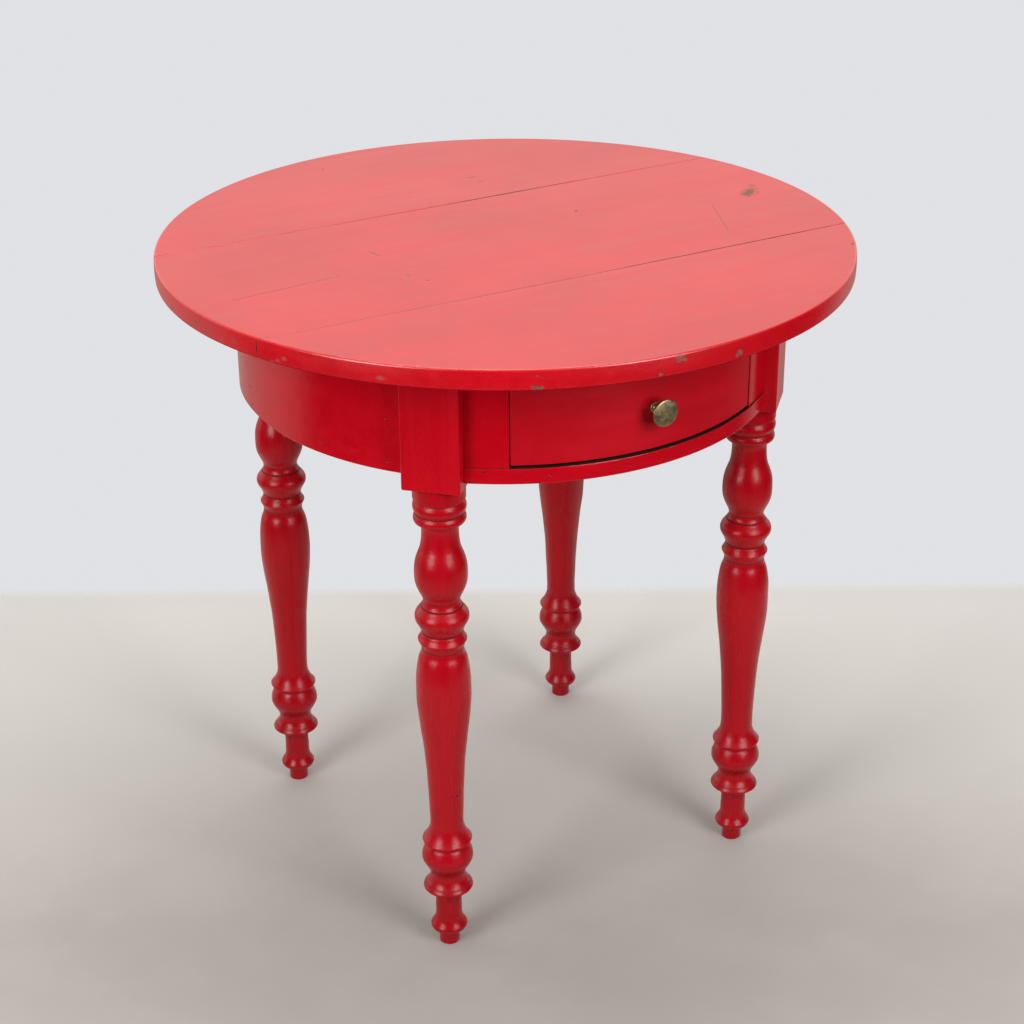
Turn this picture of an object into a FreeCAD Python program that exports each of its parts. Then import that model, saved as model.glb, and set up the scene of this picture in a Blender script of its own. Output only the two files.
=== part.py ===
"""Round tavern table with turned legs and one bowed drawer.

Frame: +Z up, the floor is Z = 0, the table's centre is on the Z axis and the
drawer faces -Y. All lengths are in millimetres.
"""
import FreeCAD, Part
import math
import os

import Sketcher
from FreeCAD import Placement, Rotation, Vector

os.makedirs("parts", exist_ok=True)
doc = FreeCAD.newDocument("TavernTable")

# --------------------------------------------------------------------------
# Driving sizes
# --------------------------------------------------------------------------

SIZES = (
    ("table_height", 740, "floor to the top's upper face"),
    ("top_overhang", 86.5, "drum's face to the rim of the round top"),
    ("top_thickness", 22, "top boards"),
    ("top_upper_bevel", 2.5, "bevel of the rim's upper edge"),
    ("top_lower_bevel", 1.5, "bevel of the rim's lower edge"),
    ("front_joint_left", -137.5, "Y of the left end of the joint behind the front board"),
    ("front_joint_right", -157.5, "Y of that joint's right end"),
    ("rear_joint_left", 142.3, "Y of the left end of the joint before the rear board"),
    ("rear_joint_right", 128, "Y of that joint's right end"),
    ("joint_gap", 0.3, "hairline between two boards"),
    ("rear_joint_opening", 1.8, "how far the rear joint has opened at its left end"),
    ("leg_setback", 17, "drum's face to the circle of the legs' axes"),
    ("post_width", 62, "square post at the top of a leg"),
    ("post_length", 144.5, "square post, below the top"),
    ("post_bevel", 1, "bevelled corners of the post"),
    ("apron_radius", 294.5, "outer face of the drum"),
    ("apron_thickness", 20, "curved aprons"),
    ("apron_height", 133.5, "curved aprons"),
    ("tenon_thickness", 10, "tenons of aprons and rails"),
    ("tenon_length", 22, "tenons of aprons and rails"),
    ("apron_tenon_shoulder", 12, "apron's edge to its tenon, above and below"),
    ("rail_tenon_shoulder", 3, "rail's face to its tenon, above and below"),
    ("mortise_gap", 0.15, "tenon to each side of its mortise"),
    ("mortise_end_gap", 1, "tenon's end to the bottom of its mortise"),
    ("peg_radius", 3.5, "eight-sided pegs through the tenons, over their corners"),
    ("peg_length", 38, "pegs through the tenons"),
    ("peg_gap", 0.1, "peg to the side of its hole"),
    ("peg_end_distance", 16, "end of a tenon's height to its peg"),
    ("upper_rail_height", 16, "rail between drawer and top"),
    ("drawer_opening_height", 103.5, "lower rail to upper rail"),
    ("rail_height", 17, "rail below the drawer"),
    ("rail_proud", 2, "lower rail's front before the drum's face"),
    ("rail_depth", 46, "both rails, front to back"),
    ("drawer_side_gap", 1.3, "drawer front to the block beside it"),
    ("drawer_top_gap", 2, "drawer front to the upper rail"),
    ("drawer_bottom_gap", 3, "drawer front to the lower rail"),
    ("drawer_bevel", 1, "bevelled outer corners of the drawer front"),
    ("front_thickness", 22, "drawer front"),
    ("block_width", 37.9, "curved blocks between the posts and the drawer's opening"),
    ("block_thickness", 24, "curved blocks between the posts and the drawer's opening"),
    ("drawer_depth", 430, "drawer front's foremost point to the drawer's back"),
    ("side_thickness", 11, "drawer sides"),
    ("side_top_drop", 2, "drawer front's top to the sides' top"),
    ("back_thickness", 11, "drawer back"),
    ("back_top_drop", 4, "sides' top to the back's top"),
    ("bottom_thickness", 7, "drawer bottom"),
    ("bottom_rise", 6.7, "sides' lower edge to the drawer bottom"),
    ("groove_depth", 5, "grooves that hold the drawer bottom"),
    ("groove_gap", 0.1, "drawer bottom to its grooves"),
    ("running_gap", 0.3, "drawer sides above the runners"),
    ("tail_length", 11.5, "half-blind dovetails at the front"),
    ("tail_width", 24, "widest part of a dovetail"),
    ("tail_pitch", 30.5, "dovetail to dovetail"),
    ("tail_rise", 18.7, "sides' lower edge to the first dovetail's middle"),
    ("tail_slope", 0.16, "a dovetail's flare for each unit of length"),
    ("pin_width", 8, "narrowest part of a pin at the back"),
    ("pin_pitch", 26, "pin to pin"),
    ("pin_rise", 13, "back's lower edge to the first pin's middle"),
    ("front_shoulder", 54.5, "drum's face to the shoulder where the sides start"),
    ("runner_width", 24.5, "drawer runners"),
    ("runner_gap", 0.5, "drawer side to the guide beside it"),
    ("runner_fit", 0.3, "ends of runners and battens to the curved faces"),
    ("runner_tenon_length", 10, "runner's tenon in the lower rail"),
    ("runner_tenon_shoulder", 5, "runner's faces to its tenon"),
    ("guide_width", 18, "drawer guides"),
    ("guide_height", 40.5, "drawer guides, from the runners' underside"),
    ("guide_setback", 31.2, "legs' axes to the ends of the drawer guides, along Y"),
    ("stop_length", 40, "drawer stops"),
    ("stop_width", 10, "drawer stops"),
    ("stop_height", 5.5, "drawer stops"),
    ("stop_offset", 60, "centre to a drawer stop's near end"),
    ("batten_width", 40, "battens under the top"),
    ("batten_setback", 18, "drawer's outer face to a batten's middle"),
    ("block_height", 26, "glue blocks"),
    ("block_depth", 22, "glue blocks"),
    ("block_angle", 9, "angle that a glue block spans, in degrees"),
    ("block_spread", 15, "apron's middle to a glue block, in degrees"),
    ("batten_nail_width", 2.8, "square shanks of the batten nails"),
    ("batten_nail_head", 6, "square heads of the batten nails"),
    ("batten_nail_head_height", 1.6, "heads of the batten nails"),
    ("batten_nail_length", 30, "batten nails"),
    ("batten_nail_recess", 0.4, "batten's face to a nail's head"),
    ("joint_nail_distance", 36, "board joint to the nails beside it, on the middle board"),
    ("front_nail_distance", 12, "batten's front end to its first nail"),
    ("rear_nail_distance", 40, "batten's rear end to its last nail"),
    ("bottom_nail_width", 2, "square shanks of the nails through the drawer bottom"),
    ("bottom_nail_length", 24, "nails through the drawer bottom"),
    ("bottom_nail_pitch", 52, "nail to nail"),
    ("nail_gap", 0.1, "nail to the side of its hole"),
    ("knob_rise", 45, "drawer front's lower edge to the knob"),
    ("knob_radius", 14.8, "knob's face"),
    ("knob_projection", 20.5, "drawer front to the knob's face"),
    ("knob_rim", 2.2, "thickness of the knob's rim"),
    ("knob_bevel", 0.9, "bevel around the knob's face"),
    ("knob_stem_radius", 3.7, "knob's stem"),
    ("knob_base_radius", 6.2, "knob's base ring"),
    ("knob_base_height", 1.6, "knob's base ring"),
    ("knob_seat_gap", 0.1, "knob and nut to the curved faces"),
    ("knob_post_radius", 2.3, "threaded post of the knob"),
    ("knob_post_reach", 2, "how far the post stands out of its nut"),
    ("knob_hole_gap", 0.4, "post to the hole through the drawer front"),
    ("nut_width", 11, "square nut on the knob's post"),
    ("nut_thickness", 4, "square nut on the knob's post"),
    ("nut_gap", 0.05, "post to the nut's thread"),
)

# The turned part of a leg, from the post down to the floor. The vase takes
# up whatever height the other elements leave.
TURNING = (
    ("collar_length", 19, "plain collar under the post"),
    ("collar_radius", 27.6, "plain collar"),
    ("bead_edge_radius", 25.4, "grooves above and below the upper bead"),
    ("upper_bead_length", 15.2, "upper bead"),
    ("upper_bead_slope_length", 3.5, "slopes of the upper bead"),
    ("upper_bead_radius", 27.9, "upper bead at its fullest"),
    ("lower_bead_length", 9.8, "lower bead"),
    ("lower_bead_slope_length", 3, "slopes of the lower bead"),
    ("lower_bead_radius", 27.5, "lower bead at its fullest"),
    ("lower_bead_base_radius", 26.3, "lower bead's lower edge"),
    ("neck_step_radius", 20.5, "start of the neck below the beads"),
    ("neck_length", 10.5, "neck below the beads"),
    ("neck_radius", 19.4, "top of the urn"),
    ("urn_length", 80.5, "urn"),
    ("urn_hollow_drop", 13, "neck to the middle of the hollow above the urn's shoulder"),
    ("urn_hollow_radius", 20.2, "that hollow"),
    ("urn_shoulder_drop", 27, "neck to the urn's shoulder"),
    ("urn_shoulder_radius", 24.4, "urn's shoulder"),
    ("urn_belly_drop", 48, "neck to the urn's belly"),
    ("urn_belly_radius", 28, "urn at its fullest"),
    ("urn_hip_drop", 69, "neck to the urn's hip"),
    ("urn_hip_radius", 24.1, "urn's hip"),
    ("waist_radius", 19.6, "waist below the urn"),
    ("waist_length", 7.5, "waist below the urn"),
    ("ball_length", 30, "ball"),
    ("ball_edge_radius", 22, "ball's upper edge"),
    ("ball_shoulder_drop", 5, "ball's upper edge to its shoulder"),
    ("ball_shoulder_radius", 26, "ball's shoulder"),
    ("ball_radius", 28.9, "ball at its fullest"),
    ("ball_hip_drop", 20, "ball's upper edge to its hip"),
    ("ball_hip_radius", 26, "ball's hip"),
    ("ball_base_radius", 22.2, "ball's lower edge"),
    ("groove_length", 2, "groove between ball and ring"),
    ("groove_radius", 21.8, "groove between ball and ring"),
    ("ring_slope_length", 7.6, "slopes above and below the ring"),
    ("ring_length", 1.4, "ring's rim"),
    ("ring_radius", 26, "ring"),
    ("vase_top_radius", 22.7, "vase where it meets the ring"),
    ("vase_collar_length", 4, "straight start of the vase"),
    ("vase_neck_radius", 27.4, "vase above its shoulder"),
    ("vase_shoulder_radius", 29.2, "vase's shoulder"),
    ("vase_belly_radius", 29.3, "vase's belly"),
    ("vase_hip_radius", 28, "vase's hip"),
    ("vase_taper_radius", 20.9, "end of the vase's taper"),
    ("vase_slim_radius", 19.1, "slim part of the vase"),
    ("vase_foot_radius", 18.5, "vase's lower end"),
    ("disc_cove_length", 18.5, "flare above the disc"),
    ("disc_cove_drop", 8.5, "vase's lower end to the middle of that flare"),
    ("disc_cove_radius", 20.6, "middle of that flare"),
    ("disc_length", 1.5, "disc's thin rim"),
    ("disc_radius", 27.2, "disc"),
    ("quirk_slope_length", 2.5, "slope under the disc"),
    ("quirk_length", 4, "small neck above the lower ball"),
    ("quirk_radius", 23, "small neck above the lower ball"),
    ("lower_ball_length", 34, "lower ball"),
    ("lower_ball_shoulder_drop", 5.5, "lower ball's upper edge to its shoulder"),
    ("lower_ball_shoulder_radius", 26.3, "lower ball's shoulder"),
    ("lower_ball_radius", 28.4, "lower ball at its fullest"),
    ("lower_ball_hip_drop", 22.5, "lower ball's upper edge to its hip"),
    ("lower_ball_hip_radius", 26, "lower ball's hip"),
    ("lower_neck_radius", 19.5, "neck below the lower ball"),
    ("lower_neck_length", 4.5, "neck below the lower ball"),
    ("flange_cove_length", 15.5, "flare above the flange"),
    ("flange_cove_drop", 6.5, "neck to the middle of that flare"),
    ("flange_cove_radius", 20.9, "middle of that flare"),
    ("flange_length", 1.8, "flange's thin rim"),
    ("flange_radius", 27.4, "flange"),
    ("flange_base_length", 2.2, "slope under the flange"),
    ("ankle_radius", 14.5, "ankle"),
    ("ankle_length", 36.5, "ankle"),
    ("foot_ring_cove_length", 12, "flare above the foot ring"),
    ("foot_ring_cove_drop", 5.4, "ankle to the middle of that flare"),
    ("foot_ring_cove_radius", 16.4, "middle of that flare"),
    ("foot_ring_length", 2.2, "foot ring's rim"),
    ("foot_ring_radius", 20.4, "foot ring at its fullest"),
    ("foot_ring_slope_length", 3.6, "slope under the foot ring's rim"),
    ("foot_ring_base_radius", 19.2, "foot ring's lower edge"),
    ("foot_ring_base_length", 0.9, "foot ring's underside"),
    ("foot_length", 18.3, "foot"),
    ("foot_radius", 11.3, "foot on the floor"),
)

# Places and sizes that follow from the driving ones.
DERIVED = (
    ("top_radius", "Sizes.apron_radius + Sizes.top_overhang"),
    ("frame_top", "Sizes.table_height - Sizes.top_thickness"),
    ("leg_circle", "Sizes.apron_radius - Sizes.leg_setback"),
    ("leg_offset", "leg_circle / sqrt(2)"),
    ("post_half", "Sizes.post_width / 2"),
    ("post_reach", "sqrt(Sizes.apron_radius ^ 2 - post_half ^ 2)"),
    ("post_corner", "(post_reach - post_half) / sqrt(2)"),
    ("post_bottom", "frame_top - Sizes.post_length"),
    ("apron_inner", "Sizes.apron_radius - Sizes.apron_thickness"),
    ("apron_bottom", "frame_top - Sizes.apron_height"),
    ("apron_tenon_height", "Sizes.apron_height - 2 * Sizes.apron_tenon_shoulder"),
    ("apron_tenon_bottom", "apron_bottom + Sizes.apron_tenon_shoulder"),
    ("mortise_width", "Sizes.tenon_thickness + 2 * Sizes.mortise_gap"),
    ("mortise_depth", "Sizes.tenon_length + Sizes.mortise_end_gap"),
    ("peg_hole_radius", "Sizes.peg_radius + Sizes.peg_gap"),
    ("peg_offset", "post_half - Sizes.tenon_length / 2"),
    ("upper_rail_bottom", "frame_top - Sizes.upper_rail_height"),
    ("upper_rail_inner", "Sizes.apron_radius - Sizes.rail_depth"),
    ("rail_top", "upper_rail_bottom - Sizes.drawer_opening_height"),
    ("rail_bottom", "rail_top - Sizes.rail_height"),
    ("rail_radius", "Sizes.apron_radius + Sizes.rail_proud"),
    ("rail_inner", "rail_radius - Sizes.rail_depth"),
    ("opening_half", "post_corner - Sizes.block_width"),
    ("block_inner", "Sizes.apron_radius - Sizes.block_thickness"),
    ("drawer_half", "opening_half - Sizes.drawer_side_gap"),
    ("drawer_width", "2 * drawer_half"),
    ("front_bottom", "rail_top + Sizes.drawer_bottom_gap"),
    ("front_top", "upper_rail_bottom - Sizes.drawer_top_gap"),
    ("front_height", "front_top - front_bottom"),
    ("front_inner", "Sizes.apron_radius - Sizes.front_thickness"),
    ("side_inner", "drawer_half - Sizes.side_thickness"),
    ("side_bottom", "rail_top + Sizes.running_gap"),
    ("side_top", "front_top - Sizes.side_top_drop"),
    ("side_front", "Sizes.front_shoulder - Sizes.apron_radius"),
    ("drawer_end", "Sizes.drawer_depth - Sizes.apron_radius"),
    ("back_front", "drawer_end - Sizes.back_thickness"),
    ("bottom_low", "side_bottom + Sizes.bottom_rise"),
    ("bottom_high", "bottom_low + Sizes.bottom_thickness"),
    ("groove_low", "bottom_low - Sizes.groove_gap"),
    ("groove_high", "bottom_high + Sizes.groove_gap"),
    ("groove_height", "groove_high - groove_low"),
    ("groove_outer", "front_inner + Sizes.groove_depth"),
    ("groove_clear", "front_inner - 1"),
    ("groove_half", "side_inner + Sizes.groove_depth"),
    ("bottom_outer", "groove_outer - Sizes.groove_gap"),
    ("bottom_half", "groove_half - Sizes.groove_gap"),
    ("back_top", "side_top - Sizes.back_top_drop"),
    ("back_height", "back_top - groove_high"),
    ("guide_inner", "drawer_half + Sizes.runner_gap"),
    ("guide_outer", "guide_inner + Sizes.guide_width"),
    ("runner_bottom", "rail_bottom"),
    ("runner_height", "rail_top - runner_bottom"),
    ("runner_inner", "guide_inner - Sizes.runner_width"),
    ("runner_tenon_width", "Sizes.runner_width - 2 * Sizes.runner_tenon_shoulder"),
    ("runner_tenon_height", "runner_height - 2 * Sizes.runner_tenon_shoulder"),
    ("runner_front_reach", "rail_inner - Sizes.runner_fit"),
    ("runner_rear_reach", "apron_inner - Sizes.runner_fit"),
    ("batten_front_reach", "upper_rail_inner - Sizes.runner_fit"),
    ("batten_half", "Sizes.batten_width / 2"),
    ("batten_offset", "drawer_half - Sizes.batten_setback"),
    ("batten_edge", "batten_offset + batten_half"),
    ("guide_end", "leg_offset - Sizes.guide_setback"),
    ("glue_block_inner", "runner_rear_reach - Sizes.block_depth"),
    ("glue_block_bottom", "frame_top - Sizes.block_height"),
    ("head_bottom", "upper_rail_bottom + Sizes.batten_nail_recess"),
    ("head_hole_depth", "Sizes.batten_nail_recess + Sizes.batten_nail_head_height"),
    ("batten_nail_tip", "head_bottom + Sizes.batten_nail_length"),
    ("front_joint_middle", "(Sizes.front_joint_left + Sizes.front_joint_right) / 2"),
    ("rear_joint_middle", "(Sizes.rear_joint_left + Sizes.rear_joint_right) / 2"),
    ("batten_nail_hole_top", "batten_nail_tip + Sizes.nail_gap"),
    ("nail_line", "drawer_end - Sizes.back_thickness / 2"),
    ("knob_height", "front_bottom + Sizes.knob_rise"),
    ("knob_seat", "Sizes.apron_radius + Sizes.knob_seat_gap"),
    ("nut_face", "front_inner - Sizes.knob_seat_gap"),
    ("nut_back", "nut_face - Sizes.nut_thickness"),
    ("knob_hole_radius", "Sizes.knob_post_radius + Sizes.knob_hole_gap"),
    ("nut_bore_radius", "Sizes.knob_post_radius + Sizes.nut_gap"),
)


def fill_sheet(name, rows):
    """Make a spreadsheet of named numbers, one row each."""
    sheet = doc.addObject("Spreadsheet::Sheet", name)
    for row, (alias, number, meaning) in enumerate(rows, start=1):
        sheet.set(f"A{row}", meaning)
        sheet.set(f"B{row}", str(number))
        sheet.setAlias(f"B{row}", alias)
    return sheet


def fill_formulas(name, rows):
    """Make a spreadsheet whose named cells are formulas."""
    sheet = doc.addObject("Spreadsheet::Sheet", name)
    for row, (alias, formula) in enumerate(rows, start=1):
        sheet.set(f"A{row}", alias.replace("_", " "))
        sheet.set(f"B{row}", "=" + formula)
        sheet.setAlias(f"B{row}", alias)
    return sheet


sizes = fill_sheet("Sizes", SIZES)
turning = fill_sheet("Turning", TURNING)
derived = fill_formulas("Derived", DERIVED)
doc.recompute()

SHEET_OF = {alias: sizes for alias, _, _ in SIZES}
SHEET_OF.update({alias: turning for alias, _, _ in TURNING})
SHEET_OF.update({alias: derived for alias, _ in DERIVED})

UP = Vector(0, 0, 1)
DIAGONAL = 45.0
QUARTER = 90.0
FRONT = -90.0
FULL_TURN = 360.0
LEFT = -1
RIGHT = 1
SIDES = {"left": LEFT, "right": RIGHT}
NEAR = 0.01
OVERLAP = 1.0
PEG_SIDES = 8


def value(alias):
    """The number in the cell of that name."""
    return float(getattr(SHEET_OF[alias], alias))


def cell(alias):
    """The expression that reads the cell of that name."""
    return f"{SHEET_OF[alias].Name}.{alias}"


# --------------------------------------------------------------------------
# Building blocks
# --------------------------------------------------------------------------

def direction(angle, length=1.0):
    """A vector in the XY plane, at an angle in degrees from +X."""
    turn = math.radians(angle)
    return Vector(length * math.cos(turn), length * math.sin(turn), 0)


def new_body(label):
    """An empty body that carries a sub-part's name."""
    body = doc.addObject("PartDesign::Body", label)
    body.Label = label
    return body


def new_sketch(body, name, plane="XY_Plane", height=None):
    """A sketch on one of the body's origin planes, lifted to a cell's value."""
    sketch = body.newObject("Sketcher::SketchObject", f"{body.Name}_{name}")
    support = [item for item in body.Origin.OriginFeatures if item.Role == plane][0]
    sketch.AttachmentSupport = [(support, "")]
    sketch.MapMode = "FlatFace"
    if height:
        sketch.setExpression("AttachmentOffset.Base.z", height)
    return sketch


def pad(body, sketch, name, length):
    """Pad a sketch along its normal by an expression."""
    feature = body.newObject("PartDesign::Pad", f"{body.Name}_{name}")
    feature.Profile = sketch
    feature.setExpression("Length", length)
    sketch.Visibility = False
    return feature


def pocket(body, sketch, name, length, along_normal=False):
    """Cut a sketch into the body, against its normal unless told otherwise."""
    feature = body.newObject("PartDesign::Pocket", f"{body.Name}_{name}")
    feature.Profile = sketch
    feature.Reversed = along_normal
    feature.setExpression("Length", length)
    sketch.Visibility = False
    return feature


def pattern_up(body, feature, name, pitch, count):
    """Repeat a feature upwards."""
    pattern = body.newObject("PartDesign::LinearPattern", f"{body.Name}_{name}")
    axis = [item for item in body.Origin.OriginFeatures if item.Role == "Z_Axis"][0]
    pattern.Originals = [feature]
    pattern.Direction = (axis, [""])
    pattern.Length = pitch * (count - 1)
    pattern.Occurrences = count
    body.Tip = pattern
    return pattern


def close_loop(sketch, first, count):
    """Join the ends of consecutive edges into one closed outline."""
    for step in range(count):
        start = first + step
        following = first + (step + 1) % count
        sketch.addConstraint(Sketcher.Constraint("Coincident", start, 2, following, 1))


def draw_polygon(sketch, points):
    """Add a closed polygon, given as (x, y) corners."""
    first = len(sketch.Geometry)
    corners = [Vector(x, y, 0) for x, y in points]
    for start, end in zip(corners, corners[1:] + corners[:1]):
        sketch.addGeometry(Part.LineSegment(start, end))
    close_loop(sketch, first, len(corners))


def draw_rectangle(sketch, x_range, y_range):
    """Add a rectangle between two x and two y values."""
    (x_low, x_high), (y_low, y_high) = x_range, y_range
    draw_polygon(sketch, [(x_low, y_low), (x_high, y_low), (x_high, y_high), (x_low, y_high)])


def draw_square(sketch, x, y, width):
    """Add a square of a given width about its middle."""
    half = width / 2
    draw_rectangle(sketch, (x - half, x + half), (y - half, y + half))


def draw_circle(sketch, x, y, radius):
    """Add a circle whose radius is bound to a cell."""
    index = sketch.addGeometry(Part.Circle(Vector(x, y, 0), UP, value(radius)))
    constraint = sketch.addConstraint(Sketcher.Constraint("Radius", index, value(radius)))
    sketch.setExpression(f"Constraints[{constraint}]", cell(radius))


def edge_point(radius, edge):
    """Where a straight edge meets a circle about the centre.

    An edge is (angle, offset): it runs in that direction and lies that far to
    the left of the line from the centre, or to the right if it is negative.
    """
    angle, offset = edge
    along = math.sqrt(radius ** 2 - offset ** 2)
    return direction(angle, along) + direction(angle + QUARTER, offset)


def draw_sector(sketch, outer, inner, low_edge, high_edge):
    """Add a curved band about the centre, between two straight edges.

    The radii are cells. The low edge is the clockwise one.
    """
    arcs = []
    for name in (outer, inner):
        radius = value(name)
        ends = [edge_point(radius, edge) for edge in (low_edge, high_edge)]
        low, high = [math.atan2(point.y, point.x) for point in ends]
        if high < low:
            high += 2 * math.pi
        circle = Part.Circle(Vector(), UP, radius)
        arcs.append((Part.ArcOfCircle(circle, low, high), ends))
    (outer_arc, outer_ends), (inner_arc, inner_ends) = arcs
    first = len(sketch.Geometry)
    sketch.addGeometry(outer_arc)
    sketch.addGeometry(Part.LineSegment(outer_ends[1], inner_ends[1]))
    sketch.addGeometry(inner_arc)
    sketch.addGeometry(Part.LineSegment(inner_ends[0], outer_ends[0]))
    joins = ((0, 2, 1, 1), (1, 2, 2, 2), (2, 1, 3, 1), (3, 2, 0, 1))
    for edge, end, other, other_end in joins:
        sketch.addConstraint(
            Sketcher.Constraint("Coincident", first + edge, end, first + other, other_end))
    for index, name in ((first, outer), (first + 2, inner)):
        sketch.addConstraint(Sketcher.Constraint("Coincident", index, 3, -1, 1))
        constraint = sketch.addConstraint(Sketcher.Constraint("Radius", index, value(name)))
        sketch.setExpression(f"Constraints[{constraint}]", cell(name))


def make_box(name, x, y, z):
    """A box from three (low corner, extent) pairs of expressions."""
    solid = doc.addObject("Part::Box", name)
    for prop, axis, (low, extent) in zip(("Length", "Width", "Height"), "xyz", (x, y, z)):
        solid.setExpression(prop, extent)
        solid.setExpression(f"Placement.Base.{axis}", low)
    return solid


def make_cylinder(name, radius, height, bottom):
    """An upright cylinder on the table's axis."""
    solid = doc.addObject("Part::Cylinder", name)
    solid.setExpression("Radius", radius)
    solid.setExpression("Height", height)
    solid.setExpression("Placement.Base.z", bottom)
    return solid


def common(name, base, tool):
    """What two solids share."""
    result = doc.addObject("Part::Common", name)
    result.Base = base
    result.Tool = tool
    return result


def cut(name, base, tool):
    """A solid less another."""
    result = doc.addObject("Part::Cut", name)
    result.Base = base
    result.Tool = tool
    return result


def fuse(name, base, tool):
    """Two solids as one."""
    result = doc.addObject("Part::Fuse", name)
    result.Base = base
    result.Tool = tool
    return result


def group(name, members):
    """Separate solids under one name."""
    result = doc.addObject("Part::Compound", name)
    result.Links = members
    return result


# --------------------------------------------------------------------------
# Table top: three boards, battens, nails and glue blocks
# --------------------------------------------------------------------------

def nail_rows():
    """Y of each row of batten nails: near both ends and beside the joints."""
    edge = value("batten_edge")
    front_end = -math.sqrt(value("batten_front_reach") ** 2 - edge ** 2)
    rear_end = math.sqrt(value("runner_rear_reach") ** 2 - edge ** 2)
    distance = value("joint_nail_distance")
    return [front_end + value("front_nail_distance"),
            value("front_joint_middle") + distance,
            value("rear_joint_middle") - distance,
            rear_end - value("rear_nail_distance")]


def nail_places(low, high):
    """The batten nails whose Y lies between two values, as (x, y)."""
    column = value("batten_offset")
    rows = [y for y in nail_rows() if low < y < high]
    return [(side * column, y) for side in SIDES.values() for y in rows]


def draw_board(sketch, front, rear):
    """Draw a board: straight joints, and the round rim between them.

    A joint is its Y at the left and at the right end, or None at the rim.
    """
    radius = value("top_radius")

    def corner(joint, side):
        y = joint[0] if side == LEFT else joint[1]
        return Vector(side * math.sqrt(radius ** 2 - y ** 2), y, 0)

    def rim(start, middle_angle, end):
        return Part.Arc(start, direction(middle_angle, radius), end)

    if front and rear:
        outline = [Part.LineSegment(corner(front, LEFT), corner(front, RIGHT)),
                   rim(corner(front, RIGHT), 0, corner(rear, RIGHT)),
                   Part.LineSegment(corner(rear, RIGHT), corner(rear, LEFT)),
                   rim(corner(rear, LEFT), 2 * QUARTER, corner(front, LEFT))]
    elif front:
        outline = [Part.LineSegment(corner(front, LEFT), corner(front, RIGHT)),
                   rim(corner(front, RIGHT), QUARTER, corner(front, LEFT))]
    else:
        outline = [Part.LineSegment(corner(rear, RIGHT), corner(rear, LEFT)),
                   rim(corner(rear, LEFT), FRONT, corner(rear, RIGHT))]
    for edge in outline:
        sketch.addGeometry(edge)
    close_loop(sketch, 0, len(outline))


def rim_edges(shape, z):
    """Names of a shape's round edges of the top's radius at one height."""
    names = []
    for index, edge in enumerate(shape.Edges, start=1):
        round_edge = isinstance(edge.Curve, Part.Circle)
        if round_edge and abs(edge.Curve.Radius - value("top_radius")) < NEAR:
            if abs(edge.CenterOfMass.z - z) < NEAR:
                names.append(f"Edge{index}")
    return names


def upright_edges(shape, radius=None):
    """Names of a shape's vertical edges, all or those that far from the centre."""
    names = []
    for index, edge in enumerate(shape.Edges, start=1):
        centre = edge.CenterOfMass
        if abs(edge.tangentAt(edge.FirstParameter).z) < 1 - NEAR:
            continue
        if radius is None or abs(math.hypot(centre.x, centre.y) - radius) < NEAR:
            names.append(f"Edge{index}")
    return names


def bevel(body, name, edges, size):
    """Bevel some edges of the body's newest feature."""
    base = body.Tip
    chamfer = body.newObject("PartDesign::Chamfer", f"{body.Name}_{name}")
    chamfer.Base = (base, edges)
    chamfer.setExpression("Size", size)
    return chamfer


def make_board(label, front, rear):
    """One board of the top, with its bevelled rim and its nail holes."""
    body = new_body(label)
    outline = new_sketch(body, "outline", height=cell("frame_top"))
    draw_board(outline, front, rear)
    pad(body, outline, "slab", cell("top_thickness"))
    radius = value("top_radius")
    low = front[0] if front else -radius
    high = rear[0] if rear else radius
    holes = new_sketch(body, "nail_holes", height=cell("batten_nail_hole_top"))
    for x, y in nail_places(low, high):
        draw_square(holes, x, y, value("batten_nail_width") + 2 * value("nail_gap"))
    pocket(body, holes, "nail_bores", f"{cell('batten_nail_hole_top')} - {cell('frame_top')}")
    doc.recompute()
    bevel(body, "lower_bevel", rim_edges(body.Tip.Shape, value("frame_top")),
          cell("top_lower_bevel"))
    doc.recompute()
    bevel(body, "upper_bevel", rim_edges(body.Tip.Shape, value("table_height")),
          cell("top_upper_bevel"))
    return body


def make_top():
    """The three boards; the rear joint has opened towards its left end."""

    def edge(joint, side, opening=0.0):
        """A board's edge half a gap beside a joint, as Y at its two ends."""
        shift = side * value("joint_gap") / 2
        return (value(f"{joint}_joint_left") + shift + opening,
                value(f"{joint}_joint_right") + shift)

    front = make_board("top_board_front", None, edge("front", -1))
    middle = make_board("top_board_middle", edge("front", 1), edge("rear", -1))
    rear = make_board("top_board_rear", edge("rear", 1, value("rear_joint_opening")), None)
    return [front, middle, rear]


def make_strip(name, side_x, z, front_reach, rear_reach):
    """A strip that runs front to back and ends on two curved faces."""
    strip = make_box(f"{name}_strip", side_x, (f"-{front_reach}", f"{front_reach} + {rear_reach}"), z)
    low, height = z
    rear_round = make_cylinder(f"{name}_rear_face", rear_reach, height, low)
    front_round = make_cylinder(f"{name}_front_face", front_reach, height, low)
    rear_part = make_box(f"{name}_rear_half", side_x, ("0", rear_reach), z)
    rear_end = common(f"{name}_rear_end", rear_part, rear_round)
    front_end = common(f"{name}_front_end", strip, front_round)
    return fuse(f"{name}_blank", front_end, rear_end)


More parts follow.
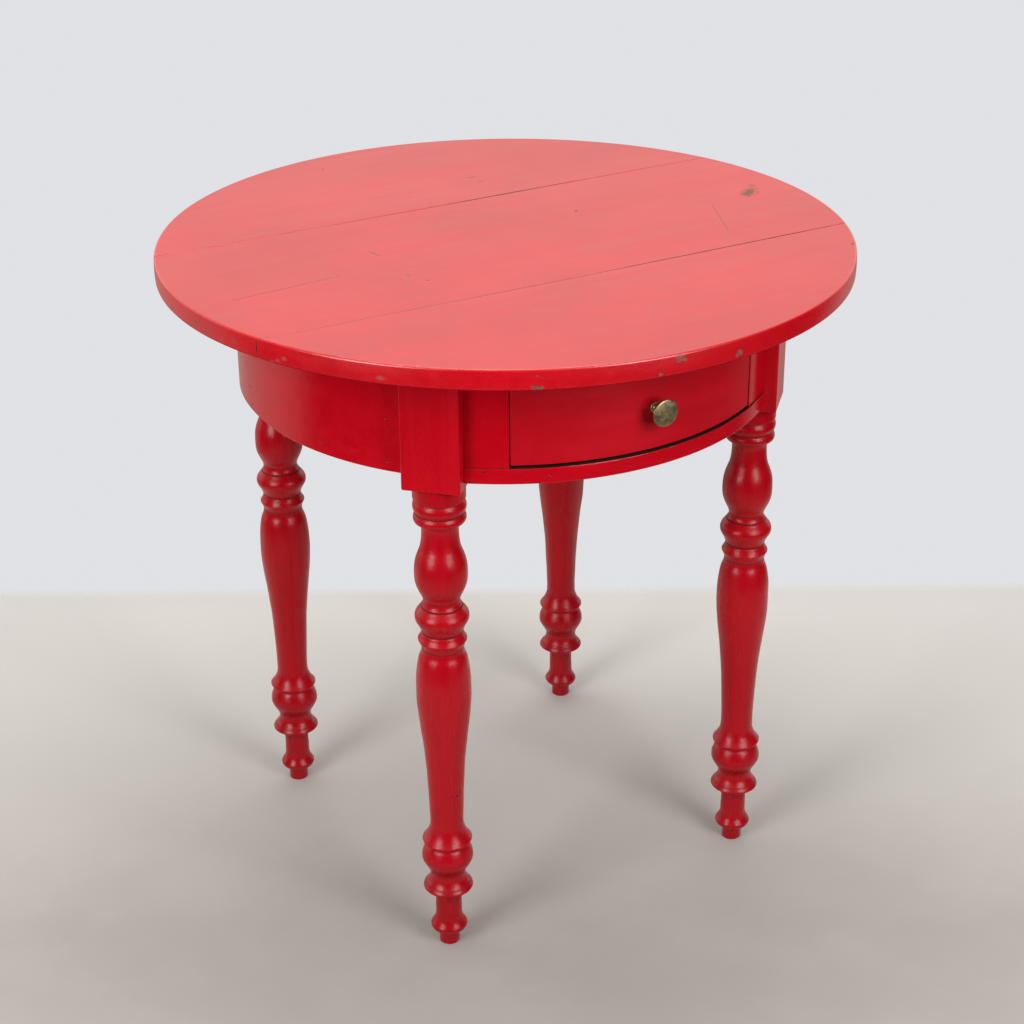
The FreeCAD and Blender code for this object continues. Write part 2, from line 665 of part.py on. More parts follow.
def make_batten(side_name):
    """A batten across the boards, with holes for its nails and their heads."""
    side = SIDES[side_name]
    label = f"top_batten_{side_name}"
    low_x = f"{side} * {cell('batten_offset')} - {cell('batten_half')}"
    z = (cell("upper_rail_bottom"), cell("upper_rail_height"))
    blank = make_strip(label, (low_x, cell("batten_width")), z,
                       cell("batten_front_reach"), cell("runner_rear_reach"))
    holes = []
    for index, y in enumerate(nail_rows()):
        for kind, width, depth in (
                ("shank", cell("batten_nail_width"), cell("upper_rail_height")),
                ("head", cell("batten_nail_head"), cell("head_hole_depth"))):
            extent = f"{width} + 2 * {cell('nail_gap')}"
            x_range = (f"{side} * {cell('batten_offset')} - ({extent}) / 2", extent)
            y_range = (f"{y} - ({extent}) / 2", extent)
            holes.append(make_box(f"{label}_{kind}_{index}", x_range, y_range,
                                  (cell("upper_rail_bottom"), depth)))
    batten = cut(label, blank, group(f"{label}_holes", holes))
    batten.Label = label
    return batten


def make_batten_nails():
    """Cut nails up through the battens into the boards."""
    body = new_body("batten_nails")
    body.AllowCompound = True
    radius = value("top_radius")
    heads = new_sketch(body, "heads", height=cell("head_bottom"))
    shanks = new_sketch(body, "shanks", height=cell("head_bottom"))
    for x, y in nail_places(-radius, radius):
        draw_square(heads, x, y, value("batten_nail_head"))
        draw_square(shanks, x, y, value("batten_nail_width"))
    pad(body, heads, "head", cell("batten_nail_head_height"))
    pad(body, shanks, "shank", cell("batten_nail_length"))
    return body


def make_glue_blocks():
    """Glue blocks in the corner between the aprons and the top."""
    body = new_body("glue_blocks")
    body.AllowCompound = True
    outline = new_sketch(body, "outline", height=cell("glue_block_bottom"))
    half = value("block_angle") / 2
    for side in SIDES.values():
        middle = side * value("block_spread")
        draw_sector(outline, "runner_rear_reach", "glue_block_inner",
                    (middle - half, 0), (middle + half, 0))
    pair = pad(body, outline, "pair", cell("block_height"))
    doc.recompute()
    pattern = body.newObject("PartDesign::PolarPattern", "glue_blocks_round")
    axis = [item for item in body.Origin.OriginFeatures if item.Role == "Z_Axis"][0]
    pattern.Originals = [pair]
    pattern.Axis = (axis, [""])
    pattern.Angle = 2 * QUARTER
    pattern.Occurrences = 3
    body.Tip = pattern
    return body


# --------------------------------------------------------------------------
# Legs: square posts and turnings
# --------------------------------------------------------------------------

class Profile:
    """Draws one side of a turned shape, as radii at heights, going down."""

    def __init__(self, sketch, radius, z):
        self.sketch = sketch
        self.here = Vector(radius, z, 0)

    def line(self, radius, drop=0.0):
        """A straight stretch to a radius, that far further down."""
        end = Vector(value(radius), self.here.y - drop, 0)
        self.sketch.addGeometry(Part.LineSegment(self.here, end))
        self.here = end

    def arc(self, middle_radius, middle_drop, radius, drop):
        """An arc through a middle point to an end point."""
        middle = Vector(value(middle_radius), self.here.y - middle_drop, 0)
        end = Vector(value(radius), self.here.y - drop, 0)
        self.sketch.addGeometry(Part.Arc(self.here, middle, end))
        self.here = end

    def rim(self, name, edge):
        """A rim with a slope above and below its flat middle."""
        slope = value(f"{name}_slope_length")
        self.line(f"{name}_radius", slope)
        self.line(f"{name}_radius", value(f"{name}_length") - 2 * slope)
        self.line(edge, slope)

    def flare(self, name):
        """A hollow flare that ends in a thin rim."""
        self.arc(f"{name}_cove_radius", value(f"{name}_cove_drop"),
                 f"{name}_radius", value(f"{name}_cove_length"))
        self.line(f"{name}_radius", value(f"{name}_length"))

    def ball(self, name, base):
        """A ball: straight at its edges, and round from shoulder to hip."""
        shoulder = value(f"{name}_shoulder_drop")
        hip = value(f"{name}_hip_drop")
        self.line(f"{name}_shoulder_radius", shoulder)
        self.arc(f"{name}_radius", (hip - shoulder) / 2, f"{name}_hip_radius", hip - shoulder)
        self.line(base, value(f"{name}_length") - hip)


# The vase's stretches: share of its length, radius halfway along an arc, or
# None for a straight stretch, and radius at its lower end.
VASE_STRETCHES = (
    (0.152, "vase_neck_radius", "vase_shoulder_radius"),
    (0.204, "vase_belly_radius", "vase_hip_radius"),
    (0.308, None, "vase_taper_radius"),
    (0.159, None, "vase_slim_radius"),
    (0.177, None, "vase_foot_radius"),
)

LOWER_LENGTHS = (
    "disc_cove_length", "disc_length", "quirk_slope_length", "quirk_length",
    "lower_ball_length", "lower_neck_length", "flange_cove_length", "flange_length",
    "flange_base_length", "ankle_length", "foot_ring_cove_length", "foot_ring_length",
    "foot_ring_slope_length", "foot_ring_base_length", "foot_length",
)


def draw_upper_turning(pen):
    """Collar, beads, urn, ball and ring."""
    pen.line("collar_radius", value("collar_length"))
    pen.line("bead_edge_radius")
    pen.rim("upper_bead", "bead_edge_radius")
    pen.rim("lower_bead", "lower_bead_base_radius")
    pen.line("neck_step_radius")
    pen.line("neck_radius", value("neck_length"))
    shoulder = value("urn_shoulder_drop")
    hip = value("urn_hip_drop")
    pen.arc("urn_hollow_radius", value("urn_hollow_drop"), "urn_shoulder_radius", shoulder)
    pen.arc("urn_belly_radius", value("urn_belly_drop") - shoulder,
            "urn_hip_radius", hip - shoulder)
    pen.line("waist_radius", value("urn_length") - hip)
    pen.line("ball_edge_radius", value("waist_length"))
    pen.ball("ball", "ball_base_radius")
    pen.line("groove_radius")
    pen.line("groove_radius", value("groove_length"))
    pen.line("ring_radius", value("ring_slope_length"))
    pen.line("ring_radius", value("ring_length"))
    pen.line("vase_top_radius", value("ring_slope_length"))
    pen.line("vase_top_radius", value("vase_collar_length"))


def draw_vase(pen, length):
    """The long vase: round down to its hip, then three straight tapers."""
    for share, middle_radius, end_radius in VASE_STRETCHES:
        if middle_radius:
            pen.arc(middle_radius, share * length / 2, end_radius, share * length)
        else:
            pen.line(end_radius, share * length)


def draw_lower_turning(pen):
    """Disc, lower ball, flange, ankle, foot ring and foot."""
    pen.flare("disc")
    pen.line("quirk_radius", value("quirk_slope_length"))
    pen.line("quirk_radius", value("quirk_length"))
    pen.ball("lower_ball", "lower_neck_radius")
    pen.line("lower_neck_radius", value("lower_neck_length"))
    pen.flare("flange")
    pen.line("ankle_radius", value("flange_base_length"))
    pen.line("ankle_radius", value("ankle_length"))
    pen.flare("foot_ring")
    pen.line("foot_ring_base_radius", value("foot_ring_slope_length"))
    pen.line("foot_radius", value("foot_ring_base_length"))
    pen.line("foot_radius", value("foot_length"))


def draw_turning(sketch):
    """The turned part's half profile, closed along the leg's axis."""
    top = value("post_bottom")
    pen = Profile(sketch, value("collar_radius"), top)
    draw_upper_turning(pen)
    draw_vase(pen, pen.here.y - sum(value(name) for name in LOWER_LENGTHS))
    draw_lower_turning(pen)
    floor = Vector(0, pen.here.y, 0)
    axis_top = Vector(0, top, 0)
    sketch.addGeometry(Part.LineSegment(pen.here, floor))
    sketch.addGeometry(Part.LineSegment(floor, axis_top))
    sketch.addGeometry(Part.LineSegment(axis_top, Vector(value("collar_radius"), top, 0)))


def joint_line(radius, thickness):
    """Where a curved piece's middle line meets a post's side face.

    It is measured from the leg's axis, outwards from the table's centre.
    """
    middle = radius - thickness / 2
    along = math.sqrt(middle ** 2 - value("post_half") ** 2)
    return along - value("leg_circle")


def tenon_rows():
    """Each tenon in a post: line from the leg's axis, lowest Z and height."""
    shoulder = value("rail_tenon_shoulder")
    apron = (joint_line(value("apron_radius"), value("apron_thickness")),
             value("apron_tenon_bottom"), value("apron_tenon_height"))
    lower_rail = (joint_line(value("rail_radius"), value("rail_depth")),
                  value("rail_bottom") + shoulder, value("rail_height") - 2 * shoulder)
    upper_rail = (joint_line(value("apron_radius"), value("rail_depth")),
                  value("upper_rail_bottom") + shoulder,
                  value("upper_rail_height") - 2 * shoulder)
    return {"apron": [apron], "rails": [lower_rail, upper_rail]}


# Each leg: signs of its X and Y, and what joins its left and right side,
# seen from outside the table.
LEGS = {
    "front_left": (LEFT, -1, "apron", "rails"),
    "front_right": (RIGHT, -1, "rails", "apron"),
    "rear_right": (RIGHT, 1, "apron", "apron"),
    "rear_left": (LEFT, 1, "apron", "apron"),
}


def leg_angle(leg):
    """Direction of a leg's outer face, in degrees from +X."""
    x_sign, y_sign = LEGS[leg][:2]
    return math.degrees(math.atan2(y_sign, x_sign))


def make_leg(leg):
    """One leg: its own +X is the outer face of the post."""
    body = new_body(f"blank_leg_{leg}")
    square = new_sketch(body, "square", height=cell("post_bottom"))
    half = value("post_half")
    draw_rectangle(square, (-half, half), (-half, half))
    pad(body, square, "post", cell("post_length"))
    doc.recompute()
    bevel(body, "corners", upright_edges(body.Tip.Shape), cell("post_bevel"))
    outline = new_sketch(body, "outline", plane="XZ_Plane")
    draw_turning(outline)
    turned = body.newObject("PartDesign::Revolution", f"{body.Name}_turning")
    turned.Profile = outline
    turned.ReferenceAxis = (outline, ["V_Axis"])
    turned.Angle = FULL_TURN
    outline.Visibility = False
    width = value("mortise_width") / 2
    gap = value("mortise_gap")
    bottom = half - value("mortise_depth")
    mouth = half + OVERLAP
    for side, kind in ((-1, LEGS[leg][2]), (1, LEGS[leg][3])):
        for index, (line, low, height) in enumerate(tenon_rows()[kind]):
            name = f"{kind}_{'left' if side < 0 else 'right'}_{index}"
            mouth_sketch = new_sketch(body, f"mortise_{name}", height=str(low + height + gap))
            y_range = sorted((side * bottom, side * mouth))
            draw_rectangle(mouth_sketch, (line - width, line + width), y_range)
            pocket(body, mouth_sketch, f"cut_{name}", str(height + 2 * gap))
    x_sign, y_sign = LEGS[leg][:2]
    body.Placement = Placement(Vector(), Rotation(UP, leg_angle(leg)))
    body.setExpression("Placement.Base.x", f"{x_sign} * {cell('leg_offset')}")
    body.setExpression("Placement.Base.y", f"{y_sign} * {cell('leg_offset')}")
    return body


def peg_heights(kind):
    """Heights of the pegs through one tenon."""
    line, low, height = tenon_rows()[kind][0]
    if kind == "rails":
        return [low + height / 2]
    distance = value("peg_end_distance")
    return [low + distance, low + height - distance]


def make_pegs(leg, radius, length, prefix):
    """Eight-sided pegs driven in from the post's outer face, or their holes."""
    x_sign, y_sign = LEGS[leg][:2]
    outward = direction(leg_angle(leg))
    pegs = []
    for side, kind in ((-1, LEGS[leg][2]), (1, LEGS[leg][3])):
        for index, height in enumerate(peg_heights(kind)):
            name = f"{prefix}_{leg}_{'left' if side < 0 else 'right'}_{index}"
            peg = doc.addObject("Part::Prism", name)
            peg.Polygon = PEG_SIDES
            peg.setExpression("Circumradius", radius)
            peg.setExpression("Height", length)
            peg.Placement = Placement(Vector(), Rotation(UP, outward * -1))
            across = f"{side} * {cell('peg_offset')}"
            peg.setExpression(
                "Placement.Base.x",
                f"{x_sign} * {cell('leg_offset')} + ({x_sign} * {cell('post_half')}"
                f" - {y_sign} * {across}) / sqrt(2)")
            peg.setExpression(
                "Placement.Base.y",
                f"{y_sign} * {cell('leg_offset')} + ({y_sign} * {cell('post_half')}"
                f" + {x_sign} * {across}) / sqrt(2)")
            peg.setExpression("Placement.Base.z", str(height))
            pegs.append(peg)
    return pegs


def make_legs():
    """Four drilled legs, and the holes and pegs that go with them."""
    nodes = []
    holes = {}
    pegs = []
    for leg in LEGS:
        drills = make_pegs(leg, cell("peg_hole_radius"),
                           f"{cell('peg_length')} + {cell('peg_gap')}", "hole")
        holes[leg] = group(f"holes_{leg}", drills)
        drilled = cut(f"leg_{leg}", make_leg(leg), holes[leg])
        drilled.Label = f"leg_{leg}"
        nodes.append(drilled)
        pegs += make_pegs(leg, cell("peg_radius"), cell("peg_length"), "peg")
    pegs_node = group("tenon_pegs", pegs)
    pegs_node.Label = "tenon_pegs"
    nodes.append(pegs_node)
    return nodes, holes


# --------------------------------------------------------------------------
# Drum: curved aprons, rails and blocks
# --------------------------------------------------------------------------

def post_edge(facing, side):
    """The straight edge where a curved piece meets the post on one side."""
    return (facing + side * DIAGONAL, -side * value("post_half"))


def add_tenons(body, facing, rows):
    """Tenons at both ends of a curved piece."""
    half = value("tenon_thickness") / 2
    shoulder = value("post_half") + OVERLAP
    end = value("post_half") - value("tenon_length")
    for index, (line, low, height) in enumerate(rows):
        sketch = new_sketch(body, f"tenon_{index}", height=str(low))
        centre = value("leg_circle") + line
        for side in SIDES.values():
            along = direction(facing + side * DIAGONAL)
            inwards = direction(facing + side * DIAGONAL - side * QUARTER)
            corners = []
            for offset, depth in ((-half, shoulder), (half, shoulder),
                                  (half, end), (-half, end)):
                point = along * (centre + offset) + inwards * depth
                corners.append((point.x, point.y))
            draw_polygon(sketch, corners)
        pad(body, sketch, f"tongue_{index}", str(height))


def make_curved(label, facing, outer, inner, bottom, height, rows):
    """A curved piece between two posts, with its tenons."""
    body = new_body(label)
    outline = new_sketch(body, "outline", height=cell(bottom))
    draw_sector(outline, outer, inner, post_edge(facing, -1), post_edge(facing, 1))
    pad(body, outline, "band", cell(height))
    if rows:
        add_tenons(body, facing, rows)
    return body


def make_aprons(holes):
    """The three aprons, drilled for the pegs of the legs beside them."""
    nodes = []
    for label, facing, legs in (
            ("apron_right", 0.0, ("front_right", "rear_right")),
            ("apron_rear", QUARTER, ("rear_right", "rear_left")),
            ("apron_left", 2 * QUARTER, ("rear_left", "front_left"))):
        blank = make_curved(f"blank_{label}", facing, "apron_radius", "apron_inner",
                            "apron_bottom", "apron_height", tenon_rows()["apron"])
        drills = group(f"drills_{label}", [holes[leg] for leg in legs])
        apron = cut(label, blank, drills)
        apron.Label = label
        nodes.append(apron)
    return nodes


def make_rails(holes):
    """The lower rail with mortises for the runners, and the upper rail."""
    lower_row, upper_row = tenon_rows()["rails"]
    lower = make_curved("blank_drawer_rail", FRONT, "rail_radius", "rail_inner",
                        "rail_bottom", "rail_height", [lower_row])
    gap = value("mortise_gap")
    top = value("runner_bottom") + value("runner_tenon_shoulder") + value("runner_tenon_height")
    mortises = new_sketch(lower, "runner_mortises", height=str(top + gap))
    near = value("runner_inner") + value("runner_tenon_shoulder") - gap
    far = value("guide_inner") - value("runner_tenon_shoulder") + gap
    deep = runner_shoulder() - value("runner_tenon_length") - value("mortise_end_gap")
    for side in SIDES.values():
        draw_rectangle(mortises, sorted((side * near, side * far)), (deep, runner_clear()))
    pocket(lower, mortises, "runner_sockets", f"{cell('runner_tenon_height')} + {2 * gap}")
    drills = group("drills_drawer_rail", [holes["front_left"], holes["front_right"]])
    rail = cut("drawer_rail", lower, drills)
    rail.Label = "drawer_rail"
    upper = make_curved("upper_rail", FRONT, "apron_radius", "upper_rail_inner",
                        "upper_rail_bottom", "upper_rail_height", [upper_row])
    return [rail, upper]


def make_front_block(side_name):
    """The curved block between the drawer and the post beside it."""
    side = SIDES[side_name]
    body = new_body(f"front_block_{side_name}")
    outline = new_sketch(body, "outline", height=cell("rail_top"))
    near_drawer = (FRONT, side * value("opening_half"))
    near_post = post_edge(FRONT, side)
    low, high = (near_drawer, near_post) if side > 0 else (near_post, near_drawer)
    draw_sector(outline, "apron_radius", "block_inner", low, high)
    pad(body, outline, "band", cell("drawer_opening_height"))
    return body


# --------------------------------------------------------------------------
# Drawer carriage: runners, guides and stops
# --------------------------------------------------------------------------

def runner_shoulder():
    """Y of the place where a runner's middle meets the lower rail."""
    middle = value("guide_inner") - value("runner_width") / 2
    return -math.sqrt(value("rail_inner") ** 2 - middle ** 2)


def runner_clear():
    """Y of a place behind the whole curved back of the lower rail."""
    return -math.sqrt(value("rail_inner") ** 2 - value("guide_inner") ** 2) + 1


def make_runner(side_name):
    """A runner from the lower rail's mortise to the rear apron."""
    side = SIDES[side_name]
    label = f"drawer_runner_{side_name}"
    low_x = cell("runner_inner") if side > 0 else f"-{cell('guide_inner')}"
    z = (cell("runner_bottom"), cell("runner_height"))
    blank = make_strip(label, (low_x, cell("runner_width")), z,
                       cell("runner_front_reach"), cell("runner_rear_reach"))
    tongue = make_box(
        f"{label}_tongue",
        (f"{low_x} + {cell('runner_tenon_shoulder')}", cell("runner_tenon_width")),
        (f"{runner_shoulder()} - {cell('runner_tenon_length')}",
         f"{cell('runner_tenon_length')} + {runner_clear() - runner_shoulder() + 1}"),
        (f"{cell('runner_bottom')} + {cell('runner_tenon_shoulder')}",
         cell("runner_tenon_height")))
    runner = fuse(label, blank, tongue)
    runner.Label = label
    return runner


def make_guide(side_name):
    """A strip glued to the runner's outer face that keeps the drawer straight."""
    side = SIDES[side_name]
    label = f"drawer_guide_{side_name}"
    low_x = cell("guide_inner") if side > 0 else f"-{cell('guide_outer')}"
    guide = make_box(label, (low_x, cell("guide_width")),
                     (f"-{cell('guide_end')}", f"2 * {cell('guide_end')}"),
                     (cell("runner_bottom"), cell("guide_height")))
    guide.Label = label
    return guide


def make_stops():
    """Two small blocks on the lower rail that stop the drawer front."""
    far_end = value("stop_offset") + value("stop_length")
    front = -math.sqrt(value("front_inner") ** 2 - far_end ** 2) + value("running_gap")
    stops = []
    for side_name, side in SIDES.items():
        low_x = cell("stop_offset") if side > 0 else f"-{far_end}"
        stops.append(make_box(
            f"stop_{side_name}", (low_x, cell("stop_length")),
            (str(front), cell("stop_width")), (cell("rail_top"), cell("stop_height"))))
    node = group("drawer_stops", stops)
    node.Label = "drawer_stops"
    return node


# --------------------------------------------------------------------------
# Drawer: bowed front, dovetailed sides and back, bottom, nails and knob
# --------------------------------------------------------------------------

TAIL_COUNT = 3
PIN_COUNT = 3
NAIL_COUNT = 5


def tail_corners():
    """A dovetail in the YZ plane, narrow at the side's shoulder."""
    shoulder = value("side_front")
    end = shoulder - value("tail_length")
    middle = value("side_bottom") + value("tail_rise")
    wide = value("tail_width") / 2
    narrow = wide - value("tail_slope") * value("tail_length")
    return [(shoulder, middle - narrow), (shoulder, middle + narrow),
            (end, middle + wide), (end, middle - wide)]


def pin_corners():
    """A pin of the drawer back in the YZ plane, narrow at the drawer's end."""
    inner = value("back_front")
    end = value("drawer_end")
    middle = value("groove_high") + value("pin_rise")
    narrow = value("pin_width") / 2
    wide = narrow + value("tail_slope") * value("back_thickness")
    return [(inner, middle - wide), (end, middle - narrow),
            (end, middle + narrow), (inner, middle + wide)]


def make_drawer_front():
    """The bowed front with its groove, dovetail sockets and knob hole."""
    body = new_body("drawer_front")
    outline = new_sketch(body, "outline", height=cell("front_bottom"))
    half = value("drawer_half")
    draw_sector(outline, "apron_radius", "front_inner", (FRONT, -half), (FRONT, half))
    pad(body, outline, "band", cell("front_height"))
    doc.recompute()
    bevel(body, "corners", upright_edges(body.Tip.Shape, value("apron_radius")),
          cell("drawer_bevel"))
    shoulders = new_sketch(body, "shoulders", height=cell("front_top"))
    inner = value("side_inner")
    behind = value("side_front") + value("front_thickness")
    for side in SIDES.values():
        x_range = sorted((side * inner, side * (half + 1)))
        draw_rectangle(shoulders, x_range, (value("side_front"), behind))
    pocket(body, shoulders, "shoulder_cut", cell("front_height"))
    groove = new_sketch(body, "groove", height=cell("groove_high"))
    reach = value("groove_half")
    draw_sector(groove, "groove_outer", "groove_clear", (FRONT, -reach), (FRONT, reach))
    pocket(body, groove, "groove_cut", cell("groove_height"))
    for side_name, side in SIDES.items():
        tail = new_sketch(body, f"tail_{side_name}", plane="YZ_Plane",
                          height=f"{side} * {cell('drawer_half')}")
        draw_polygon(tail, tail_corners())
        socket = pocket(body, tail, f"socket_{side_name}", cell("side_thickness"),
                        along_normal=side < 0)
        doc.recompute()
        pattern_up(body, socket, f"sockets_{side_name}", value("tail_pitch"), TAIL_COUNT)
    hole = new_sketch(body, "knob_hole", plane="XZ_Plane", height=cell("knob_seat"))
    draw_circle(hole, 0, value("knob_height"), "knob_hole_radius")
    pocket(body, hole, "knob_bore", f"{cell('front_thickness')} + 1")
    return body


def make_drawer_side(side_name):
    """A side with dovetails at both ends and a groove for the bottom."""
    side = SIDES[side_name]
    body = new_body(f"drawer_side_{side_name}")
    inner_face = cell("side_inner") if side > 0 else f"-{cell('drawer_half')}"
    outer_face = cell("drawer_half") if side > 0 else f"-{cell('side_inner')}"
    board = new_sketch(body, "board", plane="YZ_Plane", height=inner_face)
    draw_rectangle(board, (value("side_front"), value("drawer_end")),
                   (value("side_bottom"), value("side_top")))
    pad(body, board, "panel", cell("side_thickness"))
    tail = new_sketch(body, "tail", plane="YZ_Plane", height=inner_face)
    draw_polygon(tail, tail_corners())
    tail_pad = pad(body, tail, "tail_pad", cell("side_thickness"))
    doc.recompute()
    pattern_up(body, tail_pad, "tails", value("tail_pitch"), TAIL_COUNT)
    pin = new_sketch(body, "pin", plane="YZ_Plane", height=outer_face)
    draw_polygon(pin, pin_corners())
    pin_cut = pocket(body, pin, "pin_cut", cell("side_thickness"))
    doc.recompute()
    pattern_up(body, pin_cut, "pin_cuts", value("pin_pitch"), PIN_COUNT)
    groove = new_sketch(body, "groove", height=cell("groove_high"))
    reach = math.sqrt(value("groove_outer") ** 2 - value("side_inner") ** 2)
    x_range = sorted((side * (value("side_inner") - 1), side * value("groove_half")))
    draw_rectangle(groove, x_range, (-reach, value("drawer_end") + 1))
    pocket(body, groove, "groove_cut", cell("groove_height"))
    return body


def make_drawer_back():
    """The back, above the bottom, with pins through both sides."""
    body = new_body("blank_drawer_back")
    board = new_sketch(body, "board", height=cell("groove_high"))
    inner = value("side_inner")
    draw_rectangle(board, (-inner, inner), (value("back_front"), value("drawer_end")))
    pad(body, board, "panel", cell("back_height"))
    pin = new_sketch(body, "pin", plane="YZ_Plane", height=f"-{cell('drawer_half')}")
    draw_polygon(pin, pin_corners())
    pin_pad = pad(body, pin, "pin_pad", cell("drawer_width"))
    doc.recompute()
    pattern_up(body, pin_pad, "pins", value("pin_pitch"), PIN_COUNT)
    return body


def make_drawer_bottom():
    """The bottom panel: its front edge follows the bow of the drawer front."""
    body = new_body("blank_drawer_bottom")
    outline = new_sketch(body, "outline", height=cell("bottom_low"))
    radius = value("bottom_outer")
    half = value("bottom_half")
    end = value("drawer_end")
    side_y = -math.sqrt(radius ** 2 - half ** 2)
    corners = [Vector(half, side_y, 0), Vector(half, end, 0),
               Vector(-half, end, 0), Vector(-half, side_y, 0)]
    for start, stop in zip(corners, corners[1:]):
        outline.addGeometry(Part.LineSegment(start, stop))
    bow = Part.Arc(corners[3], Vector(0, -radius, 0), corners[0])
    outline.addGeometry(bow)
    for index in range(2):
        outline.addConstraint(Sketcher.Constraint("Coincident", index, 2, index + 1, 1))
    pad(body, outline, "panel", cell("bottom_thickness"))
    return body


def make_bottom_nails(name, width, length):
    """Cut nails up through the bottom into the back, or their holes."""
    body = new_body(name)
    body.AllowCompound = True
    sketch = new_sketch(body, "shanks", height=cell("bottom_low"))
    middle = (NAIL_COUNT - 1) / 2
    for index in range(NAIL_COUNT):
        x = (index - middle) * value("bottom_nail_pitch")
        draw_square(sketch, x, value("nail_line"), width)
    pad(body, sketch, "shank", length)
    return body


def make_nailed_parts():
    """The back and the bottom with nail holes, and the nails."""
    width = value("bottom_nail_width")
    gap = value("nail_gap")
    holes = make_bottom_nails("nail_holes", width + 2 * gap,
                              f"{cell('bottom_nail_length')} + {cell('nail_gap')}")
    back = cut("drawer_back", make_drawer_back(), holes)
    back.Label = "drawer_back"
    bottom = cut("drawer_bottom", make_drawer_bottom(), holes)
    bottom.Label = "drawer_bottom"
    nails = make_bottom_nails("bottom_nails", width, cell("bottom_nail_length"))
    return [back, bottom, nails]


def make_knob():
    """Mushroom knob: threaded post, base ring, stem, cup and bevelled face."""
    seat = value("knob_seat")
    base_end = seat + value("knob_base_height")
    face = seat + value("knob_projection")
    shoulder = face - value("knob_bevel")
    rim = shoulder - value("knob_rim")
    radius = value("knob_radius")
    stem = value("knob_stem_radius")
    base = value("knob_base_radius")
    post = value("knob_post_radius")
    tip = value("nut_back") - value("knob_post_reach")
    cup = rim - (radius - stem) / 2
    points = [(0, tip), (post, tip), (post, seat), (base, seat), (base, base_end),
              (stem, base_end), (stem, cup), (radius, rim), (radius, shoulder),
              (radius - 2 * value("knob_bevel"), face), (0, face)]
    body = new_body("drawer_knob")
    sketch = new_sketch(body, "profile", plane="YZ_Plane")
    height = value("knob_height")
    draw_polygon(sketch, [(-forward, height + offset) for offset, forward in points])
    axis = Part.LineSegment(Vector(-face, height, 0), Vector(-tip, height, 0))
    axis_index = sketch.addGeometry(axis, True)
    sketch.addConstraint(Sketcher.Constraint("Horizontal", axis_index))
    turned = body.newObject("PartDesign::Revolution", "drawer_knob_turned")
    turned.Profile = sketch
    turned.ReferenceAxis = (sketch, ["Axis0"])
    turned.Angle = FULL_TURN
    sketch.Visibility = False
    return body


def make_nut():
    """Square nut on the knob's post, inside the drawer."""
    body = new_body("knob_nut")
    sketch = new_sketch(body, "outline", plane="XZ_Plane", height=cell("nut_back"))
    draw_square(sketch, 0, value("knob_height"), value("nut_width"))
    draw_circle(sketch, 0, value("knob_height"), "nut_bore_radius")
    pad(body, sketch, "plate", cell("nut_thickness"))
    return body


# --------------------------------------------------------------------------
# The whole table
# --------------------------------------------------------------------------

def make_table():
    """Every named sub-part of the table."""
    nodes = make_top()
    nodes += [make_batten(name) for name in SIDES]
    nodes += [make_batten_nails(), make_glue_blocks()]
    legs, holes = make_legs()
    nodes += legs
    nodes += make_aprons(holes)
    nodes += make_rails(holes)
    nodes += [make_front_block(name) for name in SIDES]
    nodes += [make_runner(name) for name in SIDES]
    nodes += [make_guide(name) for name in SIDES]
    nodes.append(make_stops())
    nodes.append(make_drawer_front())
    nodes += [make_drawer_side(name) for name in SIDES]
    nodes += make_nailed_parts()
    nodes += [make_knob(), make_nut()]
    return nodes


def check(nodes):
    """Stop if an object failed or a sub-part's shape is empty or invalid."""
    for item in doc.Objects:
        bad = {"Invalid", "Error"} & set(item.State)
        if bad:
            raise RuntimeError(f"{item.Label} is {sorted(bad)}")
    for node in nodes:
        shape = node.Shape
        if shape.isNull() or not shape.isValid() or not shape.Solids:
            raise RuntimeError(f"{node.Label} has no valid solid")


table = make_table()
doc.recompute()
check(table)
for node in table:
    node.Shape.exportStep(f"parts/{node.Label}.step")
    print(f"{node.Label:24s} {len(node.Shape.Solids):3d} {node.Shape.Volume / 1000:10.1f} cm3")
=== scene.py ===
"""Looks of the round tavern table: worn red paint, bare wood, brass, light and camera."""
import math

import bmesh
import bpy
from mathutils import Matrix, Vector, noise


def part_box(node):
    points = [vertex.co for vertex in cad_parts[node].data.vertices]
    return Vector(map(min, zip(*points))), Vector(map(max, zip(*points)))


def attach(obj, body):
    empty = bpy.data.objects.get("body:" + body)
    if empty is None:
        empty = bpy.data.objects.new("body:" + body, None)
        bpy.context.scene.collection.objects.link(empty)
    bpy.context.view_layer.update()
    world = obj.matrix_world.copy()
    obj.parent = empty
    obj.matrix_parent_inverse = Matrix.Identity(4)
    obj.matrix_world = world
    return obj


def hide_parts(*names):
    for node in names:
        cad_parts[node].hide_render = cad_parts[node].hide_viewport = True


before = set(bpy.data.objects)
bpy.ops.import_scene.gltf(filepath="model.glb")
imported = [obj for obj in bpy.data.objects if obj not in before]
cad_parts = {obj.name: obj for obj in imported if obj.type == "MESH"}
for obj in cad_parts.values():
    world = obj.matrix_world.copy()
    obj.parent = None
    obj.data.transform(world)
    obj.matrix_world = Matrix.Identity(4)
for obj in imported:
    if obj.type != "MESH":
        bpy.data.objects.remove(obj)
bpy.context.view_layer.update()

MM = 0.001               # millimetres to the scene's metres
PAINT_BUMP = 0.0006      # height of the relief of paint and wood, in metres
METAL_BUMP = 0.0002


# --------------------------------------------------------------------------
# Node trees
# --------------------------------------------------------------------------

